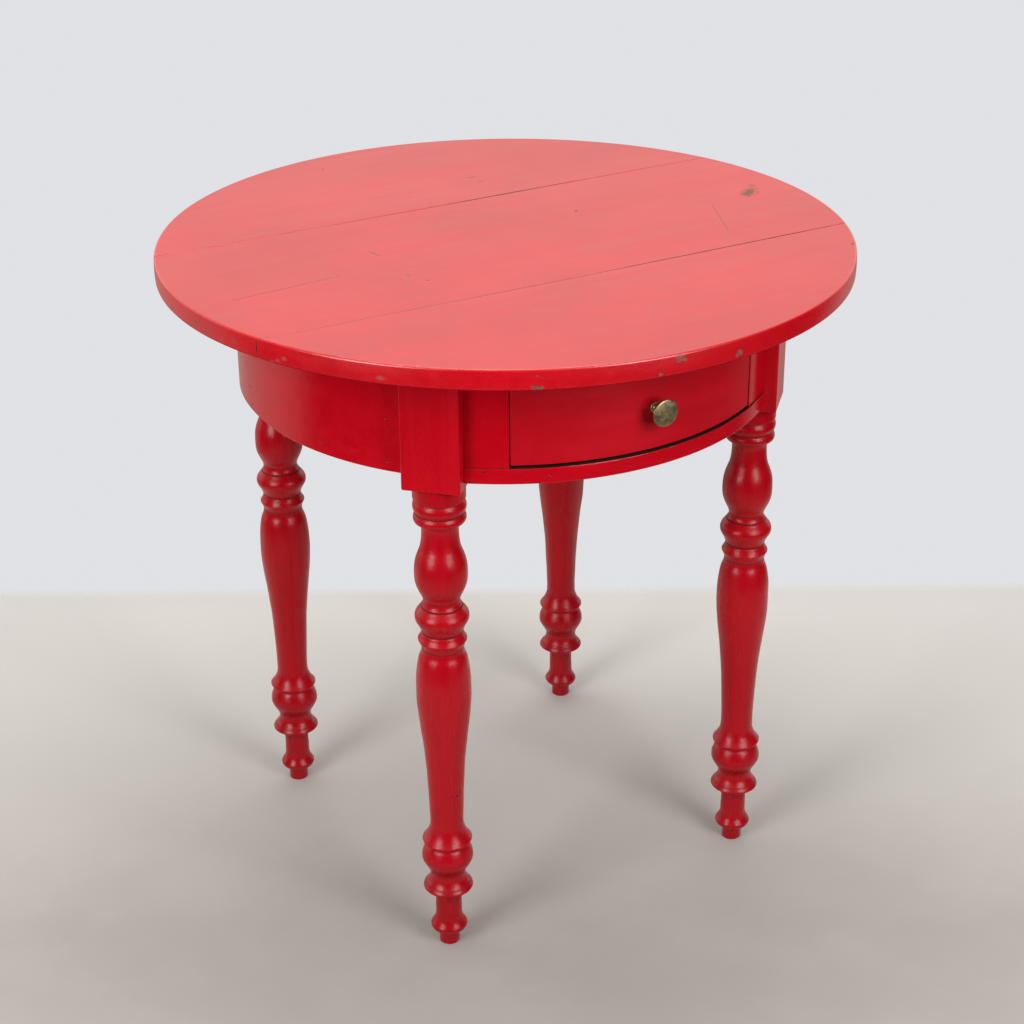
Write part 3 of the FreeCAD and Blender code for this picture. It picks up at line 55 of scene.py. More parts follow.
class Tree:
    """A material's or the world's node tree, with short calls for its nodes."""

    def __init__(self, owner):
        owner.use_nodes = True
        self.tree = owner.node_tree
        self.tree.nodes.clear()

    def node(self, kind, inputs=None, **settings):
        made = self.tree.nodes.new("ShaderNode" + kind)
        for key, setting in settings.items():
            setattr(made, key, setting)
        for key, value in (inputs or {}).items():
            if isinstance(value, bpy.types.NodeSocket):
                self.tree.links.new(value, made.inputs[key])
            else:
                made.inputs[key].default_value = value
        return made

    def math(self, operation, a, b):
        return self.node("Math", {0: a, 1: b}, operation=operation).outputs[0]

    def ramp(self, value, low, high, start=0.0, end=1.0, smooth=True):
        """Goes from start to end while the value goes from low to high."""
        kind = "SMOOTHSTEP" if smooth else "LINEAR"
        return self.node("MapRange", {"Value": value, "From Min": low, "From Max": high,
                                      "To Min": start, "To Max": end},
                         interpolation_type=kind).outputs[0]

    def mix(self, factor, a, b):
        """A colour between a and b."""
        return self.node("Mix", {0: factor, 6: a, 7: b}, data_type="RGBA").outputs[2]

    def place(self):
        return self.node("TexCoord").outputs["Object"]

    def stretched(self, scale):
        return self.node("Mapping", {"Vector": self.place(), "Scale": scale}).outputs[0]

    def noise(self, vector, scale, detail=3.0, roughness=0.5, distortion=0.0):
        return self.node("TexNoise", {"Vector": vector, "Scale": scale, "Detail": detail,
                                      "Roughness": roughness,
                                      "Distortion": distortion}).outputs["Fac"]

    def spots(self, marks):
        """How deep a point lies inside the nearest mark: 1 in its middle, 0 on its edge.

        A mark is its centre, its three half sizes and its turn about Z, in mm and degrees.
        """
        inside = None
        for centre, half, turn in marks:
            local = self.node("Mapping", {"Vector": self.place(),
                                          "Location": [c * MM for c in centre],
                                          "Rotation": (0, 0, math.radians(turn)),
                                          "Scale": [h * MM for h in half]},
                              vector_type="TEXTURE").outputs[0]
            length = self.node("VectorMath", {0: local}, operation="LENGTH").outputs["Value"]
            depth = self.math("SUBTRACT", 1.0, length)
            inside = depth if inside is None else self.math("MAXIMUM", inside, depth)
        return inside

    def output(self, surface):
        self.node("OutputMaterial", {"Surface": surface})


def grain_scale(along, across, axis):
    """Texture scale that stretches a pattern along one axis."""
    return [along if index == axis else across for index in range(3)]


# --------------------------------------------------------------------------
# Materials
# --------------------------------------------------------------------------

def paint(name, axis, chips, cracks, stains=(), grain=1.0, gloss=0.36, shine=0.5, mottle=0.0,
          grooves=(), painted_shade=0.0):
    """Red paint over wood: brushed, with the grain showing, chipped to brown wood.

    With grooves, the paint of a turned leg: painted shade darkens it below its post and more
    towards the floor, and dirt with painted shade darkens it at those heights.
    """
    material = bpy.data.materials.new(name)
    tree = Tree(material)
    place = tree.place()
    along = tree.stretched(grain_scale(3, 60, axis))
    fine = tree.stretched(grain_scale(11, 560, axis))
    patches = tree.noise(place, 7, 3)
    streaks = tree.noise(along, 1.0, 4, 0.6, 0.6)
    fibres = tree.noise(fine, 1.0, 3, 0.55)

    tone = tree.math("ADD", tree.math("MULTIPLY", patches, 0.5),
                     tree.math("ADD", tree.math("MULTIPLY", streaks, 0.3),
                               tree.math("MULTIPLY", fibres, 0.2)))
    # Painted light and shade: above 0 the last argument draws this copy of the red darker as
    # painted shade, below 0 lighter as painted light.
    keep = 1.0 - painted_shade
    red = tree.mix(tree.ramp(tone, 0.34, 0.66), (0.460 * keep, 0.0006, 0.0070, 1),
                   (0.560 * keep, 0.0016, 0.0105, 1))
    if grooves:
        # Painted shade: the turning is drawn darker than its post, and darker still towards the
        # floor.
        z = tree.node("SeparateXYZ", {0: place}).outputs[2]
        lower = tree.math("MULTIPLY", tree.ramp(z, 0.570, 0.576, 0.22, 0.0),
                          tree.ramp(z, 0.02, 0.30, 1.6, 1.0))
        red = tree.mix(lower, red, (0.02, 0.0, 0.001, 1))

    coarse = tree.noise(place, 130, 3, 0.6)
    ragged = tree.noise(place, 480, 4, 0.7)
    torn = tree.math("ADD", tree.math("MULTIPLY", tree.math("SUBTRACT", coarse, 0.5), 2.2),
                     tree.math("MULTIPLY", tree.math("SUBTRACT", ragged, 0.5), 2.0))
    chip_depth = tree.math("ADD", tree.spots(chips), torn)
    chip = tree.ramp(chip_depth, 0.16, 0.40)
    halo = tree.ramp(chip_depth, -0.05, 0.25)
    crack = tree.ramp(tree.math("ADD", tree.spots(cracks),
                                tree.math("MULTIPLY", torn, 0.30)), 0.0, 0.35)
    pit_cells = tree.node("TexVoronoi", {"Vector": place, "Scale": 55.0}, feature="F1")
    rare = tree.ramp(tree.node("SeparateColor", {0: pit_cells.outputs["Color"]}).outputs[0],
                     0.93, 0.94)
    pit = tree.math("MULTIPLY", rare,
                    tree.ramp(pit_cells.outputs["Distance"], 0.030, 0.050, 1.0, 0.0))

    wood = tree.mix(tree.ramp(ragged, 0.35, 0.65), (0.095, 0.018, 0.010, 1),
                    (0.26, 0.078, 0.040, 1))
    colour = tree.mix(tree.math("MULTIPLY", halo, 0.8), red, (0.27, 0.008, 0.010, 1))
    colour = tree.mix(tree.math("MULTIPLY", chip, 0.92), colour, wood)
    colour = tree.mix(tree.math("MULTIPLY", crack, 0.92), colour, (0.035, 0.002, 0.002, 1))
    colour = tree.mix(tree.math("MULTIPLY", pit, 0.7), colour, (0.14, 0.006, 0.006, 1))
    dull = chip
    if grooves:
        # Dirt with painted shade: near-black bands at the creases of the turning.
        crease_dirt_and_shade = tree.spots([((0, 0, z_mm), (4000, 4000, half), 0) for z_mm, half in grooves])
        crease_dirt_and_shade = tree.math("MULTIPLY", tree.ramp(crease_dirt_and_shade, 0.0, 0.6),
                         tree.ramp(torn, -0.9, 0.2, 0.45, 0.85))
        colour = tree.mix(crease_dirt_and_shade, colour, (0.085, 0.004, 0.004, 1))
        dull = tree.math("MAXIMUM", dull, crease_dirt_and_shade)
    if stains:
        smear = tree.math("MULTIPLY", tree.ramp(tree.spots(stains), 0.0, 0.7),
                          tree.ramp(torn, -0.55, 0.35, 0.0, 0.75))
        colour = tree.mix(smear, colour, (0.21, 0.072, 0.042, 1))
        dull = tree.math("MAXIMUM", dull, smear)

    rough = tree.ramp(streaks, 0.3, 0.7, gloss - 0.03, gloss + 0.03, smooth=False)
    rough = tree.math("ADD", rough, tree.math("MULTIPLY", dull, 0.35))

    height = tree.math("MULTIPLY", fibres, 0.22 * grain)
    height = tree.math("ADD", height, tree.math("MULTIPLY", streaks, 0.14 * grain))
    height = tree.math("ADD", height, tree.math("MULTIPLY", tree.noise(place, 16, 2), 0.8))
    if grooves:
        marks = tree.noise(tree.stretched((14, 14, 430)), 1.0, 2)
        height = tree.math("ADD", height, tree.math("MULTIPLY", marks, 0.16))
    if mottle:
        height = tree.math("ADD", height, tree.math("MULTIPLY", tree.noise(place, 330, 3, 0.55),
                                                    mottle))
    height = tree.math("SUBTRACT", height, tree.math("MULTIPLY", chip, 0.30))
    height = tree.math("SUBTRACT", height, tree.math("MULTIPLY", crack, 0.5))
    height = tree.math("SUBTRACT", height, tree.math("MULTIPLY", pit, 0.3))
    bump = tree.node("Bump", {"Height": height, "Strength": 1.0, "Distance": PAINT_BUMP})
    shader = tree.node("BsdfPrincipled", {"Base Color": colour, "Roughness": rough,
                                          "Normal": bump.outputs[0], "IOR": 1.5,
                                          "Specular IOR Level": shine})
    tree.output(shader.outputs[0])
    return material


def bare_wood(name, axis, dark=(0.17, 0.092, 0.045, 1), pale=(0.40, 0.245, 0.13, 1)):
    """Old unpainted softwood: rings drawn out along the grain, dirt and age."""
    material = bpy.data.materials.new(name)
    tree = Tree(material)
    along = tree.stretched(grain_scale(2.2, 34, axis))
    fine = tree.stretched(grain_scale(12, 420, axis))
    rings = tree.noise(along, 1.0, 5, 0.62, 1.4)
    fibres = tree.noise(fine, 1.0, 4, 0.6)
    stains = tree.noise(tree.place(), 9, 4, 0.6)
    colour = tree.mix(tree.ramp(rings, 0.35, 0.68), dark, pale)
    colour = tree.mix(tree.ramp(fibres, 0.50, 0.80, 0.0, 0.5), colour, dark)
    colour = tree.mix(tree.ramp(stains, 0.52, 0.80, 0.0, 0.55), colour, (0.10, 0.06, 0.035, 1))
    height = tree.math("ADD", tree.math("MULTIPLY", rings, 0.5),
                       tree.math("MULTIPLY", fibres, 0.3))
    bump = tree.node("Bump", {"Height": height, "Strength": 1.0, "Distance": PAINT_BUMP})
    rough = tree.ramp(rings, 0.3, 0.7, 0.62, 0.78, smooth=False)
    shader = tree.node("BsdfPrincipled", {"Base Color": colour, "Roughness": rough,
                                          "Normal": bump.outputs[0], "IOR": 1.45})
    tree.output(shader.outputs[0])
    return material


def brass():
    """Darkened brass with a rubbed face."""
    material = bpy.data.materials.new("knob_brass_aged")
    tree = Tree(material)
    place = tree.place()
    cloud = tree.noise(place, 140, 4, 0.6)
    fine = tree.noise(place, 900, 3, 0.6)
    colour = tree.mix(tree.ramp(cloud, 0.35, 0.68), (0.235, 0.180, 0.085, 1),
                      (0.40, 0.33, 0.185, 1))
    colour = tree.mix(tree.ramp(fine, 0.62, 0.74, 0.0, 0.7), colour, (0.09, 0.065, 0.035, 1))
    rough = tree.ramp(cloud, 0.3, 0.7, 0.36, 0.52, smooth=False)
    bump = tree.node("Bump", {"Height": fine, "Strength": 0.5, "Distance": METAL_BUMP})
    shader = tree.node("BsdfPrincipled", {"Base Color": colour, "Metallic": 1.0,
                                          "Roughness": rough, "Normal": bump.outputs[0]})
    tree.output(shader.outputs[0])
    return material


def iron():
    """Dark forged nails."""
    material = bpy.data.materials.new("nail_iron")
    tree = Tree(material)
    rust = tree.noise(tree.place(), 700, 4, 0.6)
    colour = tree.mix(tree.ramp(rust, 0.40, 0.66), (0.035, 0.030, 0.028, 1),
                      (0.13, 0.060, 0.032, 1))
    bump = tree.node("Bump", {"Height": rust, "Strength": 0.6, "Distance": METAL_BUMP})
    rough = tree.ramp(rust, 0.3, 0.7, 0.5, 0.8, smooth=False)
    shader = tree.node("BsdfPrincipled", {"Base Color": colour, "Metallic": 0.7,
                                          "Roughness": rough, "Normal": bump.outputs[0]})
    tree.output(shader.outputs[0])
    return material


# --------------------------------------------------------------------------
# Marks: centre, half sizes and turn
# --------------------------------------------------------------------------

TOP_RADIUS = 381.0
TOP_LOW, TOP_HIGH = 718.0, 740.0   # lower and upper face of the top boards


def rim_marks(places, radius):
    """Marks on a round edge, given as azimuth, height, half length and half height."""
    marks = []
    for azimuth, z, half_length, half_height in places:
        angle = math.radians(azimuth)
        marks.append(((radius * math.cos(angle), radius * math.sin(angle), z),
                      (3.0, half_length, half_height), azimuth))
    return marks


TOP_CHIPS = rim_marks([
    (-175.1, 728.8, 4.0, 1.6), (-172.1, 727.4, 2.6, 1.8), (-116.2, 720.9, 6.5, 3.2),
    (-110.5, 719.8, 1.5, 1.1), (-97.9, 722.4, 3.2, 2.4), (-94.4, 733.2, 7.0, 2.4),
    (-84.2, 725.4, 5.0, 3.8), (-101.5, 719.2, 1.4, 1.0), (-116.1, 733.6, 2.0, 0.9)],
    TOP_RADIUS)
TOP_CHIPS += [((307, -218, 740), (4, 2, 4), 20), ((77, 187, 740), (4.5, 1.2, 4), 0),
              ((-138.8, -76, 740), (2.4, 1.9, 4), 0), ((-148.3, -51.3, 740), (2.6, 1.1, 4), 30),
              ((-59, 329.7, 740), (2.0, 1.8, 4), 0), ((114, 36, 740), (3.4, 2.4, 4), 10),
              ((321, -12, 740), (17, 7, 5), 34)]
TOP_STAINS = rim_marks([
    (169.1, 726.7, 4.0, 2.6), (175.6, 723.8, 5.0, 3.0), (-177.6, 721.5, 6.0, 3.0),
    (-175.1, 728.0, 9.0, 4.2), (-171.5, 726.4, 9.0, 4.4), (-168.1, 724.5, 5.0, 3.6),
    (-165.0, 727.5, 6.0, 3.0), (-157.2, 719.5, 5.0, 3.0), (-155.9, 722.6, 4.4, 2.6),
    (-154.7, 726.4, 4.6, 2.8), (-138.7, 725.3, 7.0, 3.0), (-94.8, 736.8, 9.0, 3.0)],
    TOP_RADIUS)
TOP_STAINS += [((322, -12, 740), (24, 13, 6), 34), ((338, 6, 740), (9, 6, 6), 60)]
TOP_CRACKS = [((-276, -20, 740), (84, 0.55, 3), 3.5), ((238, -70, 740), (62, 0.35, 2), 66),
              ((77, 208, 740), (11, 0.9, 2), 0), ((-30, 196, 740), (46, 0.30, 2), 1),
              ((-350, -134.9, 739.4), (9.0, 0.6, 3), -18), ((-147, 26, 740), (1.0, 14, 2), 12)]
TOP_CRACKS += rim_marks([(-160.0, 728.5, 0.9, 11.0)], TOP_RADIUS)
# Dirt in the joints between the boards.
TOP_CRACKS += [((170, -153.4, 740), (195, 0.95, 2), -1.3),
               ((-165, -143.2, 740), (190, 0.55, 2), -2.0),
               ((-165, 137.2, 740), (215, 1.3, 2), -1.5),
               ((90, 132.9, 740), (110, 0.5, 2), -0.8)]

# Wear on the drawer rail's upper edge, and pits and scratches round the drum.
BODY_CHIPS = rim_marks([(-104.0, 598.0, 2.4, 0.9), (-97.0, 598.2, 5.0, 0.9),
                        (-91.5, 598.3, 3.0, 0.8), (-86.0, 598.4, 5.0, 0.9)], 295.5)
BODY_PITS = rim_marks([
    (171.0, 611.2, 8.0, 1.0), (-119.9, 608.8, 2.2, 0.8), (-112.0, 590.4, 2.0, 0.8),
    (-161.2, 597.0, 1.4, 1.4), (171.8, 592.3, 2.4, 1.6), (-144.8, 595.8, 1.8, 1.6),
    (-144.9, 643.0, 1.5, 1.1), (-158.7, 600.0, 1.2, 1.1), (-125.2, 594.3, 1.5, 1.5),
    (-98.8, 591.5, 1.2, 1.1), (-94.5, 595.4, 1.9, 1.0), (-74.9, 589.7, 1.5, 1.3),
    (-65.4, 589.1, 1.5, 1.6), (-54.8, 585.4, 1.6, 1.5)], 295.2)

LEG_SPOT = 196.22        # X and Y of each leg's axis
LEG_CHIPS = [((LEG_SPOT - 12, LEG_SPOT - 24, 505), (5.0, 4, 4.0), 0),
             ((LEG_SPOT - 18, LEG_SPOT - 20, 108), (2.5, 4, 2.0), 0),
             ((178.1, -204.6, 517.7), (1.6, 1.6, 1.6), 0),
             ((178.7, -205.9, 512), (1.7, 1.7, 1.7), 0),
             ((177.5, -203.3, 507.6), (1.5, 1.5, 1.5), 0),
             ((178.6, -207.6, 504), (1.6, 1.6, 1.6), 0),
             ((180.8, -209.0, 521), (1.5, 1.5, 1.5), 0)]
LEG_PITS = [((-193.4, -215.2, 202.7), (2.2, 2.2, 1.6), 0),
            ((-200.1, -215.0, 203.0), (1.3, 1.3, 1.0), 0),
            ((-188.9, -213.9, 206.2), (1.4, 1.4, 1.2), 0),
            ((-186.8, -212.2, 166.7), (1.6, 1.6, 2.6), 0),
            ((-184.4, -211.1, 159.9), (1.3, 1.3, 1.5), 0),
            ((-222.9, -204.0, 312.1), (1.3, 1.3, 2.2), 0)]
# Dirt and painted shade in the creases of the turning: height and half height.
LEG_GROOVES = [(554.6, 1.3), (539.6, 1.1), (528.9, 1.3), (438.8, 1.0), (431.3, 1.2), (400.6, 1.4),
               (381.4, 1.2), (136.2, 1.6), (98.0, 1.0), (81.4, 0.6), (74.6, 1.2), (63.5, 0.7),
               (60.2, 0.6), (18.6, 1.2)]

# Painted light and shade: the top and rim copies of the red are drawn lighter as painted light, the
# drawer front and the top's lower edge darker as painted shade.
PAINT_TOP = paint("paint_top", 0, TOP_CHIPS, TOP_CRACKS, TOP_STAINS, gloss=0.38, shine=0.77,
                  painted_shade=-0.03)
PAINT_RIM = paint("paint_rim", 0, TOP_CHIPS, TOP_CRACKS, TOP_STAINS, grain=0.6, gloss=0.28,
                  shine=0.85, mottle=0.15, painted_shade=-0.10)
PAINT_UNDER = paint("paint_under", 0, TOP_CHIPS, TOP_CRACKS, TOP_STAINS, gloss=0.65, shine=0.03,
                    painted_shade=0.12)
PAINT_BODY = paint("paint_body", 0, BODY_CHIPS, BODY_PITS, grain=0.9, gloss=0.20, shine=0.45)
PAINT_DRAWER = paint("paint_drawer", 0, BODY_CHIPS, BODY_PITS, grain=0.9, gloss=0.40,
                     shine=0.22, painted_shade=0.07)
PAINT_LEG = paint("paint_leg", 2, LEG_CHIPS, LEG_PITS, grain=0.05, gloss=0.27, shine=0.28,
                  mottle=0.38, grooves=LEG_GROOVES)
# Near-black wood for the drawer rail's ledge: dirt, and painted shade of the gap under the drawer.
GRIME_AND_SHADE = bare_wood("grimy_wood_and_painted_shade", 0, dark=(0.010, 0.003, 0.002, 1), pale=(0.026, 0.008, 0.005, 1))
WOOD_X = bare_wood("bare_wood_x", 0)
WOOD_Y = bare_wood("bare_wood_y", 1)
BRASS = brass()
IRON = iron()


# --------------------------------------------------------------------------
# Mesh helpers
# --------------------------------------------------------------------------

def new_piece(name, bm, materials, body, nodes=(), sharp=40):
    """A shown piece made from a bmesh: smoothed, placed on its body, standing for its nodes."""
    mesh = bpy.data.meshes.new(name)
    bmesh.ops.recalc_face_normals(bm, faces=bm.faces)
    for face in bm.faces:
        face.smooth = True
    bm.to_mesh(mesh)
    bm.free()
    mesh.set_sharp_from_angle(angle=math.radians(sharp))
    for material in materials:
        mesh.materials.append(material)
    piece = bpy.data.objects.new(name, mesh)
    bpy.context.scene.collection.objects.link(piece)
    weighted = piece.modifiers.new("even_normals", "WEIGHTED_NORMAL")
    weighted.keep_sharp = True
    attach(piece, body)
    if nodes:
        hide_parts(*nodes)
    return piece


def arc(first, middle, last, steps=8):
    """Points of the circle through three points, from the first to the last."""
    (ax, ay), (bx, by), (cx, cy) = first, middle, last
    d = 2 * (ax * (by - cy) + bx * (cy - ay) + cx * (ay - by))
    ux = ((ax ** 2 + ay ** 2) * (by - cy) + (bx ** 2 + by ** 2) * (cy - ay)
          + (cx ** 2 + cy ** 2) * (ay - by)) / d
    uy = ((ax ** 2 + ay ** 2) * (cx - bx) + (bx ** 2 + by ** 2) * (ax - cx)
          + (cx ** 2 + cy ** 2) * (bx - ax)) / d
    radius = math.hypot(ax - ux, ay - uy)
    start, mid, end = (math.atan2(y - uy, x - ux) for x, y in (first, middle, last))
    turn = (end - start) % (2 * math.pi)
    if (mid - start) % (2 * math.pi) > turn:
        turn -= 2 * math.pi
    return [(ux + radius * math.cos(start + turn * i / steps),
             uy + radius * math.sin(start + turn * i / steps)) for i in range(steps + 1)]


def spline(points, steps=6):
    """A smooth line through points (Catmull-Rom)."""
    padded = [points[0]] + list(points) + [points[-1]]
    line = []
    for index in range(1, len(padded) - 2):
        p0, p1, p2, p3 = (Vector(p) for p in padded[index - 1:index + 3])
        for i in range(steps):
            t = i / steps
            line.append(tuple(0.5 * (2 * p1 + (p2 - p0) * t
                                     + (2 * p0 - 5 * p1 + 4 * p2 - p3) * t ** 2
                                     + (3 * p1 - p0 - 3 * p2 + p3) * t ** 3)))
    return line + [tuple(points[-1])]


def rings_to_mesh(bm, rings):
    """Joins closed rings of the same number of points with quads, and closes the ends."""
    made = [[bm.verts.new(point) for point in ring] for ring in rings]
    count = len(rings[0])
    for lower, upper in zip(made, made[1:]):
        for i in range(count):
            j = (i + 1) % count
            bm.faces.new((lower[i], lower[j], upper[j], upper[i]))
    bm.faces.new(list(reversed(made[0])))
    bm.faces.new(made[-1])


# --------------------------------------------------------------------------
# Top boards
# --------------------------------------------------------------------------

FRONT_JOINT = (-137.5, -157.5)   # its Y where it meets the rim, left and right
REAR_JOINT = (142.3, 128.0)
REAR_GAP = 1.8                   # how far the rear joint has opened at its left end
JOINT_BOW = 1.8                  # both joints bow a little to the front
LOWER_ROUND, UPPER_ROUND = 2.4, 2.3   # the rim's rounded edges
RIM_STEPS, MIDDLE_RIM_STEPS, JOINT_STEPS = 220, 80, 60


def joint_y(joint, x):
    """Y of a joint between two boards at that X."""
    left = -math.sqrt(TOP_RADIUS ** 2 - joint[0] ** 2)
    right = math.sqrt(TOP_RADIUS ** 2 - joint[1] ** 2)
    t = (x - left) / (right - left)
    return joint[0] + (joint[1] - joint[0]) * t - 4 * JOINT_BOW * t * (1 - t)


def rim_radius(angle):
    """The rim's radius there: sawn and planed by hand, so not quite round."""
    p = Vector((math.cos(angle) * 2.1, math.sin(angle) * 2.1, 0.3))
    return TOP_RADIUS + 0.7 * noise.noise(p) - 0.4


def edge_profile():
    """Rim from the lower face up: inset, height, and share of the joint's softened edge."""
    low, high = LOWER_ROUND, UPPER_ROUND
    lower = [(low * (1 - math.sin(a)), TOP_LOW + low * (1 - math.cos(a)), 0.25 * (1 - math.sin(a)))
             for a in (math.radians(d) for d in (0, 20, 40, 60, 80, 90))]
    upper = [(high * (1 - math.cos(a)), TOP_HIGH - high * (1 - math.sin(a)), 1 - math.cos(a))
             for a in (math.radians(d) for d in (0, 15, 30, 45, 60, 75, 90))]
    belly = [(-0.25, 724.5, 0), (-0.35, 728.5, 0), (-0.25, 732.0, 0)]
    return lower + belly + upper


def end_point(joint, side, radius, shift):
    """Where a joint line, shifted in Y, meets the round rim at that radius."""
    x = side * radius
    for _ in range(6):
        y = joint_y(joint, x) + shift(x)
        x = side * math.sqrt(radius ** 2 - y ** 2)
    return x, joint_y(joint, x) + shift(x)


def softened(x, left, right):
    """Width of the rounded edge along a joint: worn more at one end."""
    t = (x + TOP_RADIUS) / (2 * TOP_RADIUS)
    return left + (right - left) * t + 0.12 * noise.noise(Vector((x * 0.02, left, right)))


def board_ring(inset, z, share, front, rear):
    """One closed ring of a board's outline, at one height."""
    reach = TOP_RADIUS - inset

    def front_edge(x):
        return softened(x, 0.15, 0.8) * share

    def rear_edge(x):
        return softened(x, 1.1, 0.3) * share

    def before_front_joint(x):
        return -front_edge(x)

    def before_rear_joint(x):
        return -rear_edge(x)

    def behind_rear_joint(x):
        return REAR_GAP * (TOP_RADIUS - x) / (2 * TOP_RADIUS) + rear_edge(x)

    def rim(first, last, steps):
        start = math.atan2(first[1], first[0])
        turn = (math.atan2(last[1], last[0]) - start) % (2 * math.pi)
        angles = [start + turn * i / steps for i in range(steps + 1)]
        return [((rim_radius(angle) - inset) * math.cos(angle) * MM,
                 (rim_radius(angle) - inset) * math.sin(angle) * MM, z * MM) for angle in angles]

    def seam(first, last, joint, shift):
        steps = JOINT_STEPS
        places = [first[0] + (last[0] - first[0]) * i / steps for i in range(1, steps)]
        return [(x * MM, (joint_y(joint, x) + shift(x)) * MM, z * MM) for x in places]

    if front == "rim":
        first = end_point(FRONT_JOINT, -1, reach, before_front_joint)
        last = end_point(FRONT_JOINT, 1, reach, before_front_joint)
        return rim(first, last, RIM_STEPS) + seam(last, first, FRONT_JOINT, before_front_joint)
    if rear == "rim":
        first = end_point(REAR_JOINT, 1, reach, behind_rear_joint)
        last = end_point(REAR_JOINT, -1, reach, behind_rear_joint)
        return rim(first, last, RIM_STEPS) + seam(last, first, REAR_JOINT, behind_rear_joint)
    a = end_point(FRONT_JOINT, 1, reach, front_edge)
    b = end_point(REAR_JOINT, 1, reach, before_rear_joint)
    c = end_point(REAR_JOINT, -1, reach, before_rear_joint)
    d = end_point(FRONT_JOINT, -1, reach, front_edge)
    return (rim(a, b, MIDDLE_RIM_STEPS) + seam(b, c, REAR_JOINT, before_rear_joint)
            + rim(c, d, MIDDLE_RIM_STEPS) + seam(d, a, FRONT_JOINT, front_edge))


def make_board(node, front, rear):
    """A board of the top. Its materials are face, rim, lower edge and bare underside."""
    face_paint, rim_paint, under_paint, bare = range(4)
    bm = bmesh.new()
    rings_to_mesh(bm, [board_ring(*step, front, rear) for step in edge_profile()])
    for face in bm.faces:
        z = face.calc_center_median().z
        if len(face.verts) == 4:
            face.material_index = under_paint if z < (TOP_LOW + 2.0) * MM else rim_paint
        else:
            face.material_index = bare if z < (TOP_LOW + 1) * MM else face_paint
    new_piece(node + "_painted", bm, [PAINT_TOP, PAINT_RIM, PAINT_UNDER, WOOD_X], "table_frame",
              [node])


make_board("top_board_front", "rim", "joint")
make_board("top_board_middle", "joint", "joint")
make_board("top_board_rear", "joint", "rim")


# --------------------------------------------------------------------------
# Legs
# --------------------------------------------------------------------------

POST_HALF, POST_CORNER = 31.0, 2.4   # half of the square post's width, its corners' radius
POST_BOTTOM = 573.5

# Radius and height of the turning, from the post down to the floor.
LEG_PROFILE = (
    # Collar and two beads.
    [(0, 576), (27.6, 576), (27.6, 556.6), (27.1, 555.4), (25.5, 554.9)]
    + arc((25.4, 554.2), (27.9, 547.2), (25.4, 540.0), 10)
    + arc((25.4, 539.2), (27.5, 534.4), (26.6, 530.4), 7) + [(25.8, 529.6), (21.9, 529.1)]
    # Neck and urn.
    + arc((21.2, 528.7), (19.9, 524.5), (19.4, 518.0), 5)
    + spline([(19.4, 518), (19.6, 512.5), (20.3, 505.5), (21.5, 499.5), (23.1, 495), (24.8, 490.5),
              (26.2, 486), (27.4, 480), (28.0, 471), (27.75, 462), (26.5, 456), (24.1, 450),
              (21.2, 444), (19.8, 439.4)], 4)[1:]
    + arc((19.6, 438.4), (20.0, 435.2), (21.9, 431.7), 5) + [(21.5, 431.3), (21.5, 431.0)]
    # Ball and sharp ring.
    + spline([(22.4, 430.6), (24.7, 427.5), (27.1, 424.5), (28.5, 421.5), (28.9, 418.5),
              (28.4, 415.2), (26.9, 412.2), (25.2, 409.2), (23.8, 406.3), (22.5, 402.6)], 3)
    + [(21.7, 401.8), (21.5, 400.2), (21.9, 399.5)]
    + spline([(22.4, 399.1), (23.4, 396), (25.0, 393.2), (25.9, 391.9)], 3)
    + [(26.05, 391.3), (25.9, 390.6)]
    + spline([(25.5, 389.8), (24.7, 388.2), (23.5, 385.4), (22.8, 382.3)], 3)
    # Vase, flaring out to a thin disc.
    + spline([(22.7, 380.2), (23.1, 377.2), (23.9, 374.3), (25.45, 370.3), (26.8, 365), (28.3, 355),
              (29.2, 344), (29.5, 331), (29.2, 315), (28.0, 300), (26.5, 287), (24.5, 270),
              (22.6, 251), (21.1, 234.5), (20.1, 215), (19.1, 192), (18.4, 170), (18.5, 159.5),
              (19.0, 155.6), (19.9, 152.4), (21.2, 149), (23.4, 144.8), (25.6, 141.6)], 4)
    + [(27.0, 140.1), (27.4, 139.4), (27.4, 138.4), (27.0, 137.8), (24.2, 137.0), (22.9, 135.8),
       (22.5, 134.0), (22.8, 132.4)]
    # Lower ball, neck, and the flare out to the thin flange.
    + spline([(23.6, 131.4), (24.7, 129.8), (25.8, 127.3), (26.9, 124.3), (27.9, 121), (28.35, 117),
              (28.0, 113.8), (26.9, 111), (25.4, 108), (23.7, 105), (21.8, 101.8), (20.5, 99.2),
              (19.7, 96.3)], 3)
    + spline([(19.35, 94), (19.4, 91.8), (20.0, 89.2), (20.9, 87), (22.5, 84.3), (24.2, 82.2)], 3)
    + [(24.4, 81.5), (24.9, 81.2)] + spline([(25.1, 80.9), (26.2, 79.4), (27.1, 78.1)], 3)
    + [(27.45, 77.3), (27.5, 76.5), (27.2, 75.9), (26.4, 75.6), (17.6, 74.6), (15.4, 73.6)]
    # Ankle with its scored rings, foot ring and foot.
    + [(14.6, 71.5), (14.4, 64.2), (13.8, 63.7), (13.8, 63.2), (14.4, 62.7), (14.4, 60.9),
       (13.9, 60.4), (13.9, 60.0), (14.4, 59.5), (14.4, 54), (14.7, 48), (14.6, 41.5)]
    + spline([(14.8, 37.8), (15.5, 34.2), (16.7, 31.2), (18.3, 28.4), (19.8, 25.9)], 4)
    + [(20.3, 24.8), (20.45, 23.8), (20.2, 22.6), (19.7, 21.2), (18.9, 19.9), (17.9, 19.2),
       (12.6, 18.7), (11.6, 18.0), (11.3, 16.8), (11.3, 0.9), (10.5, 0.0), (0, 0)])


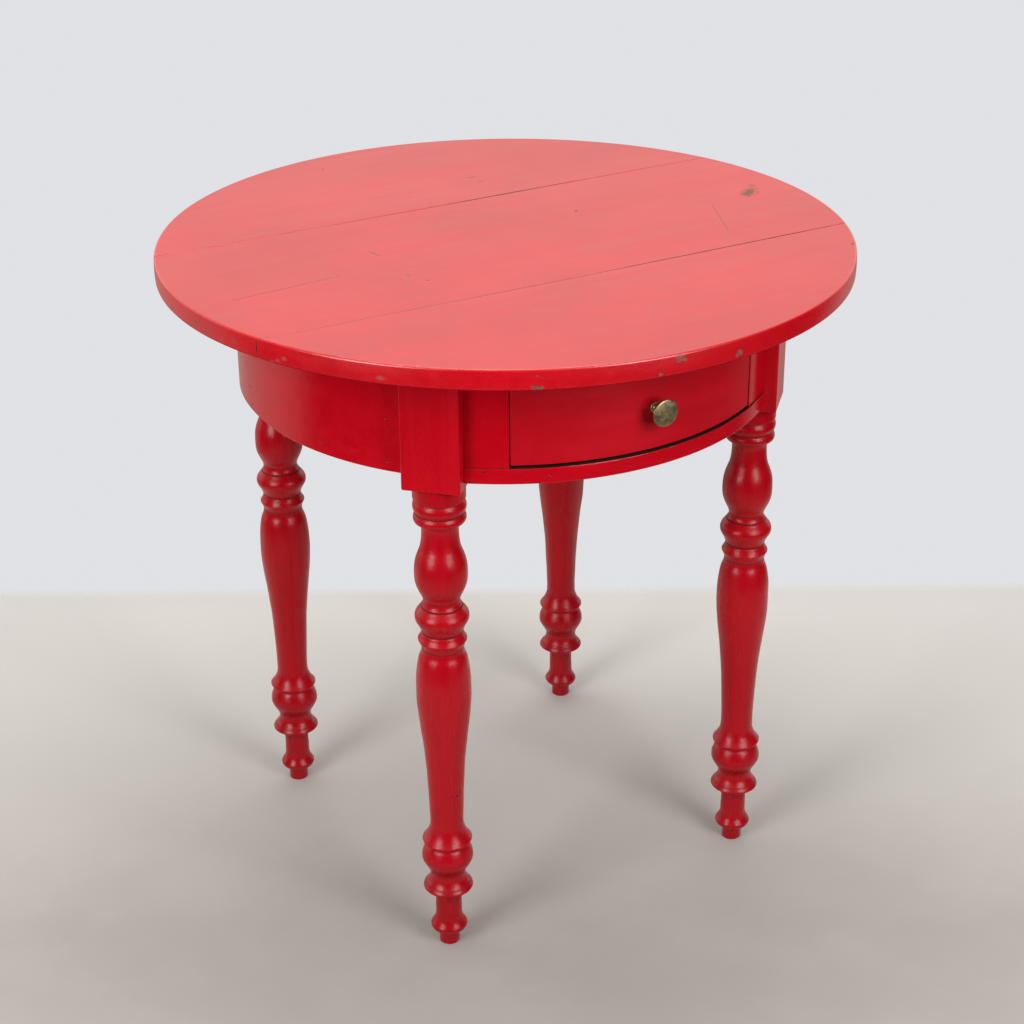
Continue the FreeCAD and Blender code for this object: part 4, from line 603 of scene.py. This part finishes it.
def lathe(bm, profile, centre, segments=72, unevenness=0.0, seed=0.0):
    """Turns a profile of radius and height about a vertical line."""
    rings = []
    for radius, z in profile:
        ring = []
        for i in range(segments):
            angle = 2 * math.pi * i / segments
            r = max(radius, 0.02)
            if radius > 1 and unevenness:
                r += unevenness * noise.noise(Vector((math.cos(angle), math.sin(angle),
                                                      z * 0.045 + seed)))
            ring.append(((centre[0] + r * math.cos(angle)) * MM,
                         (centre[1] + r * math.sin(angle)) * MM, z * MM))
        rings.append(ring)
    rings_to_mesh(bm, rings)


def rounded_post(bm, centre, half, low, high, corner, turn):
    """A square post with rounded corners and softened ends."""
    rings = []
    for inset, z in ((1.6, low), (0.5, low + 0.35), (0, low + 1.4), (0, high)):
        ring = []
        for quarter in range(4):
            start = quarter * math.pi / 2
            middle = half - corner
            cx = middle * (1 if quarter in (0, 3) else -1)
            cy = middle * (1 if quarter in (0, 1) else -1)
            for i in range(6):
                angle = start + math.pi / 2 * i / 5
                x = cx + (corner - inset) * math.cos(angle)
                y = cy + (corner - inset) * math.sin(angle)
                ring.append(((centre[0] + x * math.cos(turn) - y * math.sin(turn)) * MM,
                             (centre[1] + x * math.sin(turn) + y * math.cos(turn)) * MM, z * MM))
        rings.append(ring)
    rings_to_mesh(bm, rings)


def make_leg(node, x, y, seed):
    """A leg: square post and turning. The seed sets its small unevenness."""
    bm = bmesh.new()
    lathe(bm, LEG_PROFILE, (x, y), unevenness=0.35, seed=seed)
    rounded_post(bm, (x, y), POST_HALF, POST_BOTTOM, TOP_LOW, POST_CORNER, math.pi / 4)
    new_piece(node + "_turned", bm, [PAINT_LEG], "table_frame", [node], sharp=50)


make_leg("leg_front_left", -LEG_SPOT, -LEG_SPOT, 1.7)
make_leg("leg_front_right", LEG_SPOT, -LEG_SPOT, 12.3)
make_leg("leg_rear_right", LEG_SPOT, LEG_SPOT, 23.9)
make_leg("leg_rear_left", -LEG_SPOT, LEG_SPOT, 35.1)


# --------------------------------------------------------------------------
# Knob
# --------------------------------------------------------------------------

def make_knob():
    """Mushroom knob: lightly domed face, thin rim, tapered cup, stem and base ring."""
    low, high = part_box("drawer_knob")
    front, tip, z = low.y / MM, high.y / MM, (low.z + high.z) / 2 / MM
    profile = ([(0, tip), (2.3, tip), (2.3, front + 20.5), (6.0, front + 20.5),
                (6.2, front + 20.1)] + arc((6.2, front + 19.8), (5.6, front + 18.9),
                                           (4.4, front + 18.4), 4)
               + spline([(3.8, front + 17.6), (3.6, front + 14), (4.2, front + 10),
                         (6.6, front + 6.6), (10.5, front + 4.7), (14.0, front + 3.7)], 5)
               + arc((14.6, front + 3.3), (14.8, front + 2.3), (14.2, front + 1.5), 5)
               + spline([(13.4, front + 1.05), (9, front + 0.45), (4, front + 0.12),
                         (0, front)], 4))
    bm = bmesh.new()
    lathe(bm, profile, (0, 0), segments=64)
    turn = Matrix(((1, 0, 0), (0, 0, 1), (0, -1, 0)))
    for vertex in bm.verts:
        vertex.co = turn @ vertex.co + Vector((0, 0, z * MM))
    new_piece("drawer_knob_turned", bm, [BRASS], "drawer", ["drawer_knob"])


make_knob()


# --------------------------------------------------------------------------
# Frame and drawer pieces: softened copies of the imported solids
# --------------------------------------------------------------------------

def soften(node, width, materials, choose, body, shortest=7.0):
    """Stands for a node with a copy whose longer sharp edges are rounded over."""
    bm = bmesh.new()
    bm.from_mesh(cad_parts[node].data)
    bmesh.ops.remove_doubles(bm, verts=bm.verts, dist=2e-6)
    bmesh.ops.dissolve_limit(bm, angle_limit=math.radians(0.4), verts=bm.verts, edges=bm.edges)
    edges = [edge for edge in bm.edges if len(edge.link_faces) == 2
             and edge.calc_face_angle() > math.radians(30)
             and edge.calc_length() > shortest * MM]
    bmesh.ops.bevel(bm, geom=edges, offset=width * MM, offset_type="OFFSET", segments=3,
                    profile=0.5, clamp_overlap=True, affect="EDGES")
    for face in bm.faces:
        face.material_index = choose(face)
    return new_piece(node + "_worn", bm, materials, body, [node], sharp=35)


def inward(face):
    """1 for a face that looks towards the table's middle, where no paint is."""
    centre = face.calc_center_median()
    outward = Vector((centre.x, centre.y, 0)).normalized()
    return 1 if face.normal.dot(outward) < -0.5 else 0


def behind(face):
    """1 for the back and the undersides of the drawer front, where no paint is."""
    return 0 if face.normal.y < -0.45 or abs(face.normal.x) > 0.7 else 1


def bulge(piece, azimuth, spread, rise):
    """Swells the outer face of a curved piece a little, most at one azimuth."""
    for vertex in piece.data.vertices:
        x, y = vertex.co.x, vertex.co.y
        away = abs(math.degrees(math.atan2(y, x)) % 360 - azimuth) / spread
        if away < 1 and math.hypot(x, y) > 288 * MM:
            share = rise * MM * 0.5 * (1 + math.cos(math.pi * away)) / math.hypot(x, y)
            vertex.co.x += x * share
            vertex.co.y += y * share


def ledge(face):
    """As inward, and 2 for the upper face of the drawer rail, drawn in near-black wood: dirt, and
    painted shade of the gap under the drawer.
    """
    return 2 if face.normal.z > 0.9 else inward(face)


for node in ("apron_left", "apron_rear", "apron_right", "drawer_rail", "upper_rail",
             "front_block_left", "front_block_right"):
    shown = soften(node, 1.0, [PAINT_BODY, WOOD_X, GRIME_AND_SHADE],
                   ledge if node == "drawer_rail" else inward, "table_frame")
    if node == "apron_left":
        bulge(shown, 152, 30, 4.0)
soften("drawer_front", 0.9, [PAINT_DRAWER, WOOD_X], behind, "drawer")

BARE = {"top_batten_left": WOOD_Y, "top_batten_right": WOOD_Y, "glue_blocks": WOOD_X,
        "drawer_runner_left": WOOD_Y, "drawer_runner_right": WOOD_Y,
        "drawer_guide_left": WOOD_Y, "drawer_guide_right": WOOD_Y, "drawer_stops": WOOD_X,
        "drawer_side_left": WOOD_Y, "drawer_side_right": WOOD_Y, "drawer_back": WOOD_X,
        "drawer_bottom": WOOD_X, "batten_nails": IRON, "bottom_nails": IRON,
        "knob_nut": BRASS, "tenon_pegs": PAINT_LEG}
for node, material in BARE.items():
    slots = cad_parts[node].data.materials
    slots.clear()
    slots.append(material)


# --------------------------------------------------------------------------
# Floor, light and camera
# --------------------------------------------------------------------------

FLOOR_RADIUS = 2.2
FLOOR_DARK, FLOOR_LIGHT = (0.375, 0.347, 0.324, 1), (0.415, 0.387, 0.361, 1)
# The floor's colour further back, drawn lighter as painted light.
FLOOR_FAR_PAINTED_LIGHT = (0.66, 0.635, 0.61, 1)
FLOOR_AWAY = (0.509, 0.861, 0.0)        # level direction away from the camera
BACKGROUND = (0.745, 0.757, 0.785, 1)   # what the camera sees behind the floor
WALL_LIGHT = (1, 0.985, 0.95, 1)
WALL_MIRRORED = (1.0, 0.965, 0.88, 1)
DARK_SIDE = (-0.259, -0.966, 0.0)       # level direction of the room's dark side

# The camera, fitted to the photo: degrees, metres and pixels.
CAMERA_AZIMUTH, CAMERA_ELEVATION, CAMERA_ROLL = -30.61, 26.20, -0.42
CAMERA_TARGET, CAMERA_DISTANCE = (0.0084, 0.0043, 0.4013), 2.485
FOCAL_PIXELS, PHOTO_PIXELS, SENSOR_WIDTH = 2131.25, 1024, 36.0

LAMP_TARGET = (0, 0, 0.55)
# Azimuth and elevation in degrees, distance and size in metres, power in watts.
LAMPS = (("softbox_left", -72, 20, 2.4, (0.95, 1.55), 38),
         ("softbox_right", 10, 21, 2.4, (1.05, 1.60), 39),
         ("softbox_above", 150, 80, 2.3, (1.4, 1.2), 25))


def direction(azimuth, elevation):
    """Unit vector from the table, with both angles in radians. Azimuth 0 is -Y."""
    return Vector((math.sin(azimuth) * math.cos(elevation),
                   -math.cos(azimuth) * math.cos(elevation), math.sin(elevation)))


def make_floor():
    """A pale disc, drawn lighter towards the back as painted light, whose edge fades into the
    background.
    """
    bm = bmesh.new()
    bmesh.ops.create_circle(bm, cap_ends=True, segments=96, radius=FLOOR_RADIUS)
    mesh = bpy.data.meshes.new("floor")
    bm.to_mesh(mesh)
    bm.free()
    floor = bpy.data.objects.new("floor", mesh)
    bpy.context.scene.collection.objects.link(floor)
    material = bpy.data.materials.new("floor_pale")
    tree = Tree(material)
    place = tree.place()
    reach = tree.node("VectorMath", {0: place}, operation="LENGTH").outputs["Value"]
    cloud = tree.noise(place, 3.0, 5, 0.6)
    behind = tree.node("VectorMath", {0: place, 1: FLOOR_AWAY},
                       operation="DOT_PRODUCT").outputs["Value"]
    colour = tree.mix(tree.ramp(cloud, 0.3, 0.7), FLOOR_DARK, FLOOR_LIGHT)
    # Painted light: the floor is drawn lighter towards the back.
    colour = tree.mix(tree.ramp(behind, -0.25, 0.50, smooth=False), colour, FLOOR_FAR_PAINTED_LIGHT)
    surface = tree.node("BsdfDiffuse", {"Color": colour})
    clear = tree.node("BsdfTransparent")
    fade = tree.math("MAXIMUM", tree.ramp(reach, 1.00, 1.35), tree.ramp(behind, 0.54, 0.58))
    both = tree.node("MixShader", {0: fade, 1: surface.outputs[0], 2: clear.outputs[0]})
    tree.output(both.outputs[0])
    mesh.materials.append(material)


def make_world():
    """White walls on the far side, a dark room on the camera's side, pale to the camera."""
    world = bpy.data.worlds.new("studio")
    bpy.context.scene.world = world
    tree = Tree(world)
    way = tree.node("TexCoord").outputs["Generated"]
    toward = tree.node("VectorMath", {0: way, 1: DARK_SIDE},
                       operation="DOT_PRODUCT").outputs["Value"]
    rise = tree.node("SeparateXYZ", {0: way}).outputs[2]
    wall = tree.math("MULTIPLY", tree.ramp(toward, -0.48, -0.20, 1.30, 0.03),
                     tree.ramp(rise, -0.10, 0.04, 0.34, 1.0))
    wall = tree.math("MULTIPLY", wall, tree.ramp(rise, 0.38, 0.52, 1.0, 0.76, smooth=False))
    wall = tree.math("MAXIMUM", wall, tree.ramp(rise, 0.40, 0.90, 0.0, 0.6))
    light = tree.node("Background", {"Color": WALL_LIGHT, "Strength": wall})
    rays = tree.node("LightPath").outputs
    mirror = tree.math("MAXIMUM", rays["Is Glossy Ray"], rays["Is Transmission Ray"])
    glow = tree.mix(rays["Is Camera Ray"], WALL_MIRRORED, BACKGROUND)
    strength = tree.math("MAXIMUM", wall, rays["Is Camera Ray"])
    shown = tree.math("SUBTRACT", strength, tree.math("MULTIPLY", rays["Is Camera Ray"],
                                                      tree.math("SUBTRACT", strength, 1.0)))
    seen = tree.node("Background", {"Color": glow, "Strength": shown})
    plain = tree.math("MAXIMUM", rays["Is Camera Ray"], mirror)
    both = tree.node("MixShader", {0: plain, 1: light.outputs[0], 2: seen.outputs[0]})
    tree.node("OutputWorld", {"Surface": both.outputs[0]})


def make_lamp(name, azimuth, elevation, distance, size, power):
    """A soft box, aimed at the table."""
    lamp = bpy.data.lights.new(name, "AREA")
    lamp.shape = "RECTANGLE"
    lamp.size, lamp.size_y = size
    lamp.energy = power
    back = direction(math.radians(azimuth), math.radians(elevation))
    holder = bpy.data.objects.new(name, lamp)
    holder.location = Vector(LAMP_TARGET) + back * distance
    holder.rotation_mode = "QUATERNION"
    holder.rotation_quaternion = (-back).to_track_quat("-Z", "Y")
    holder.visible_camera = False
    bpy.context.scene.collection.objects.link(holder)


def make_camera():
    """The photographed view: 26 degrees down, 31 degrees round to the left."""
    roll = math.radians(CAMERA_ROLL)
    back = direction(math.radians(CAMERA_AZIMUTH), math.radians(CAMERA_ELEVATION))
    level = (-back).cross(Vector((0, 0, 1))).normalized()
    upright = level.cross(-back)
    right = math.cos(roll) * level + math.sin(roll) * upright
    up = math.cos(roll) * upright - math.sin(roll) * level
    data = bpy.data.cameras.new("camera")
    data.sensor_width = SENSOR_WIDTH
    data.lens = FOCAL_PIXELS * SENSOR_WIDTH / PHOTO_PIXELS
    camera = bpy.data.objects.new("camera", data)
    place = Vector(CAMERA_TARGET) + back * CAMERA_DISTANCE
    turned = Matrix((right, up, back)).transposed().to_4x4()
    camera.matrix_world = Matrix.Translation(place) @ turned
    bpy.context.scene.collection.objects.link(camera)
    bpy.context.scene.camera = camera


make_floor()
make_world()
for lamp in LAMPS:
    make_lamp(*lamp)
make_camera()
bpy.context.scene.view_settings.view_transform = "Standard"
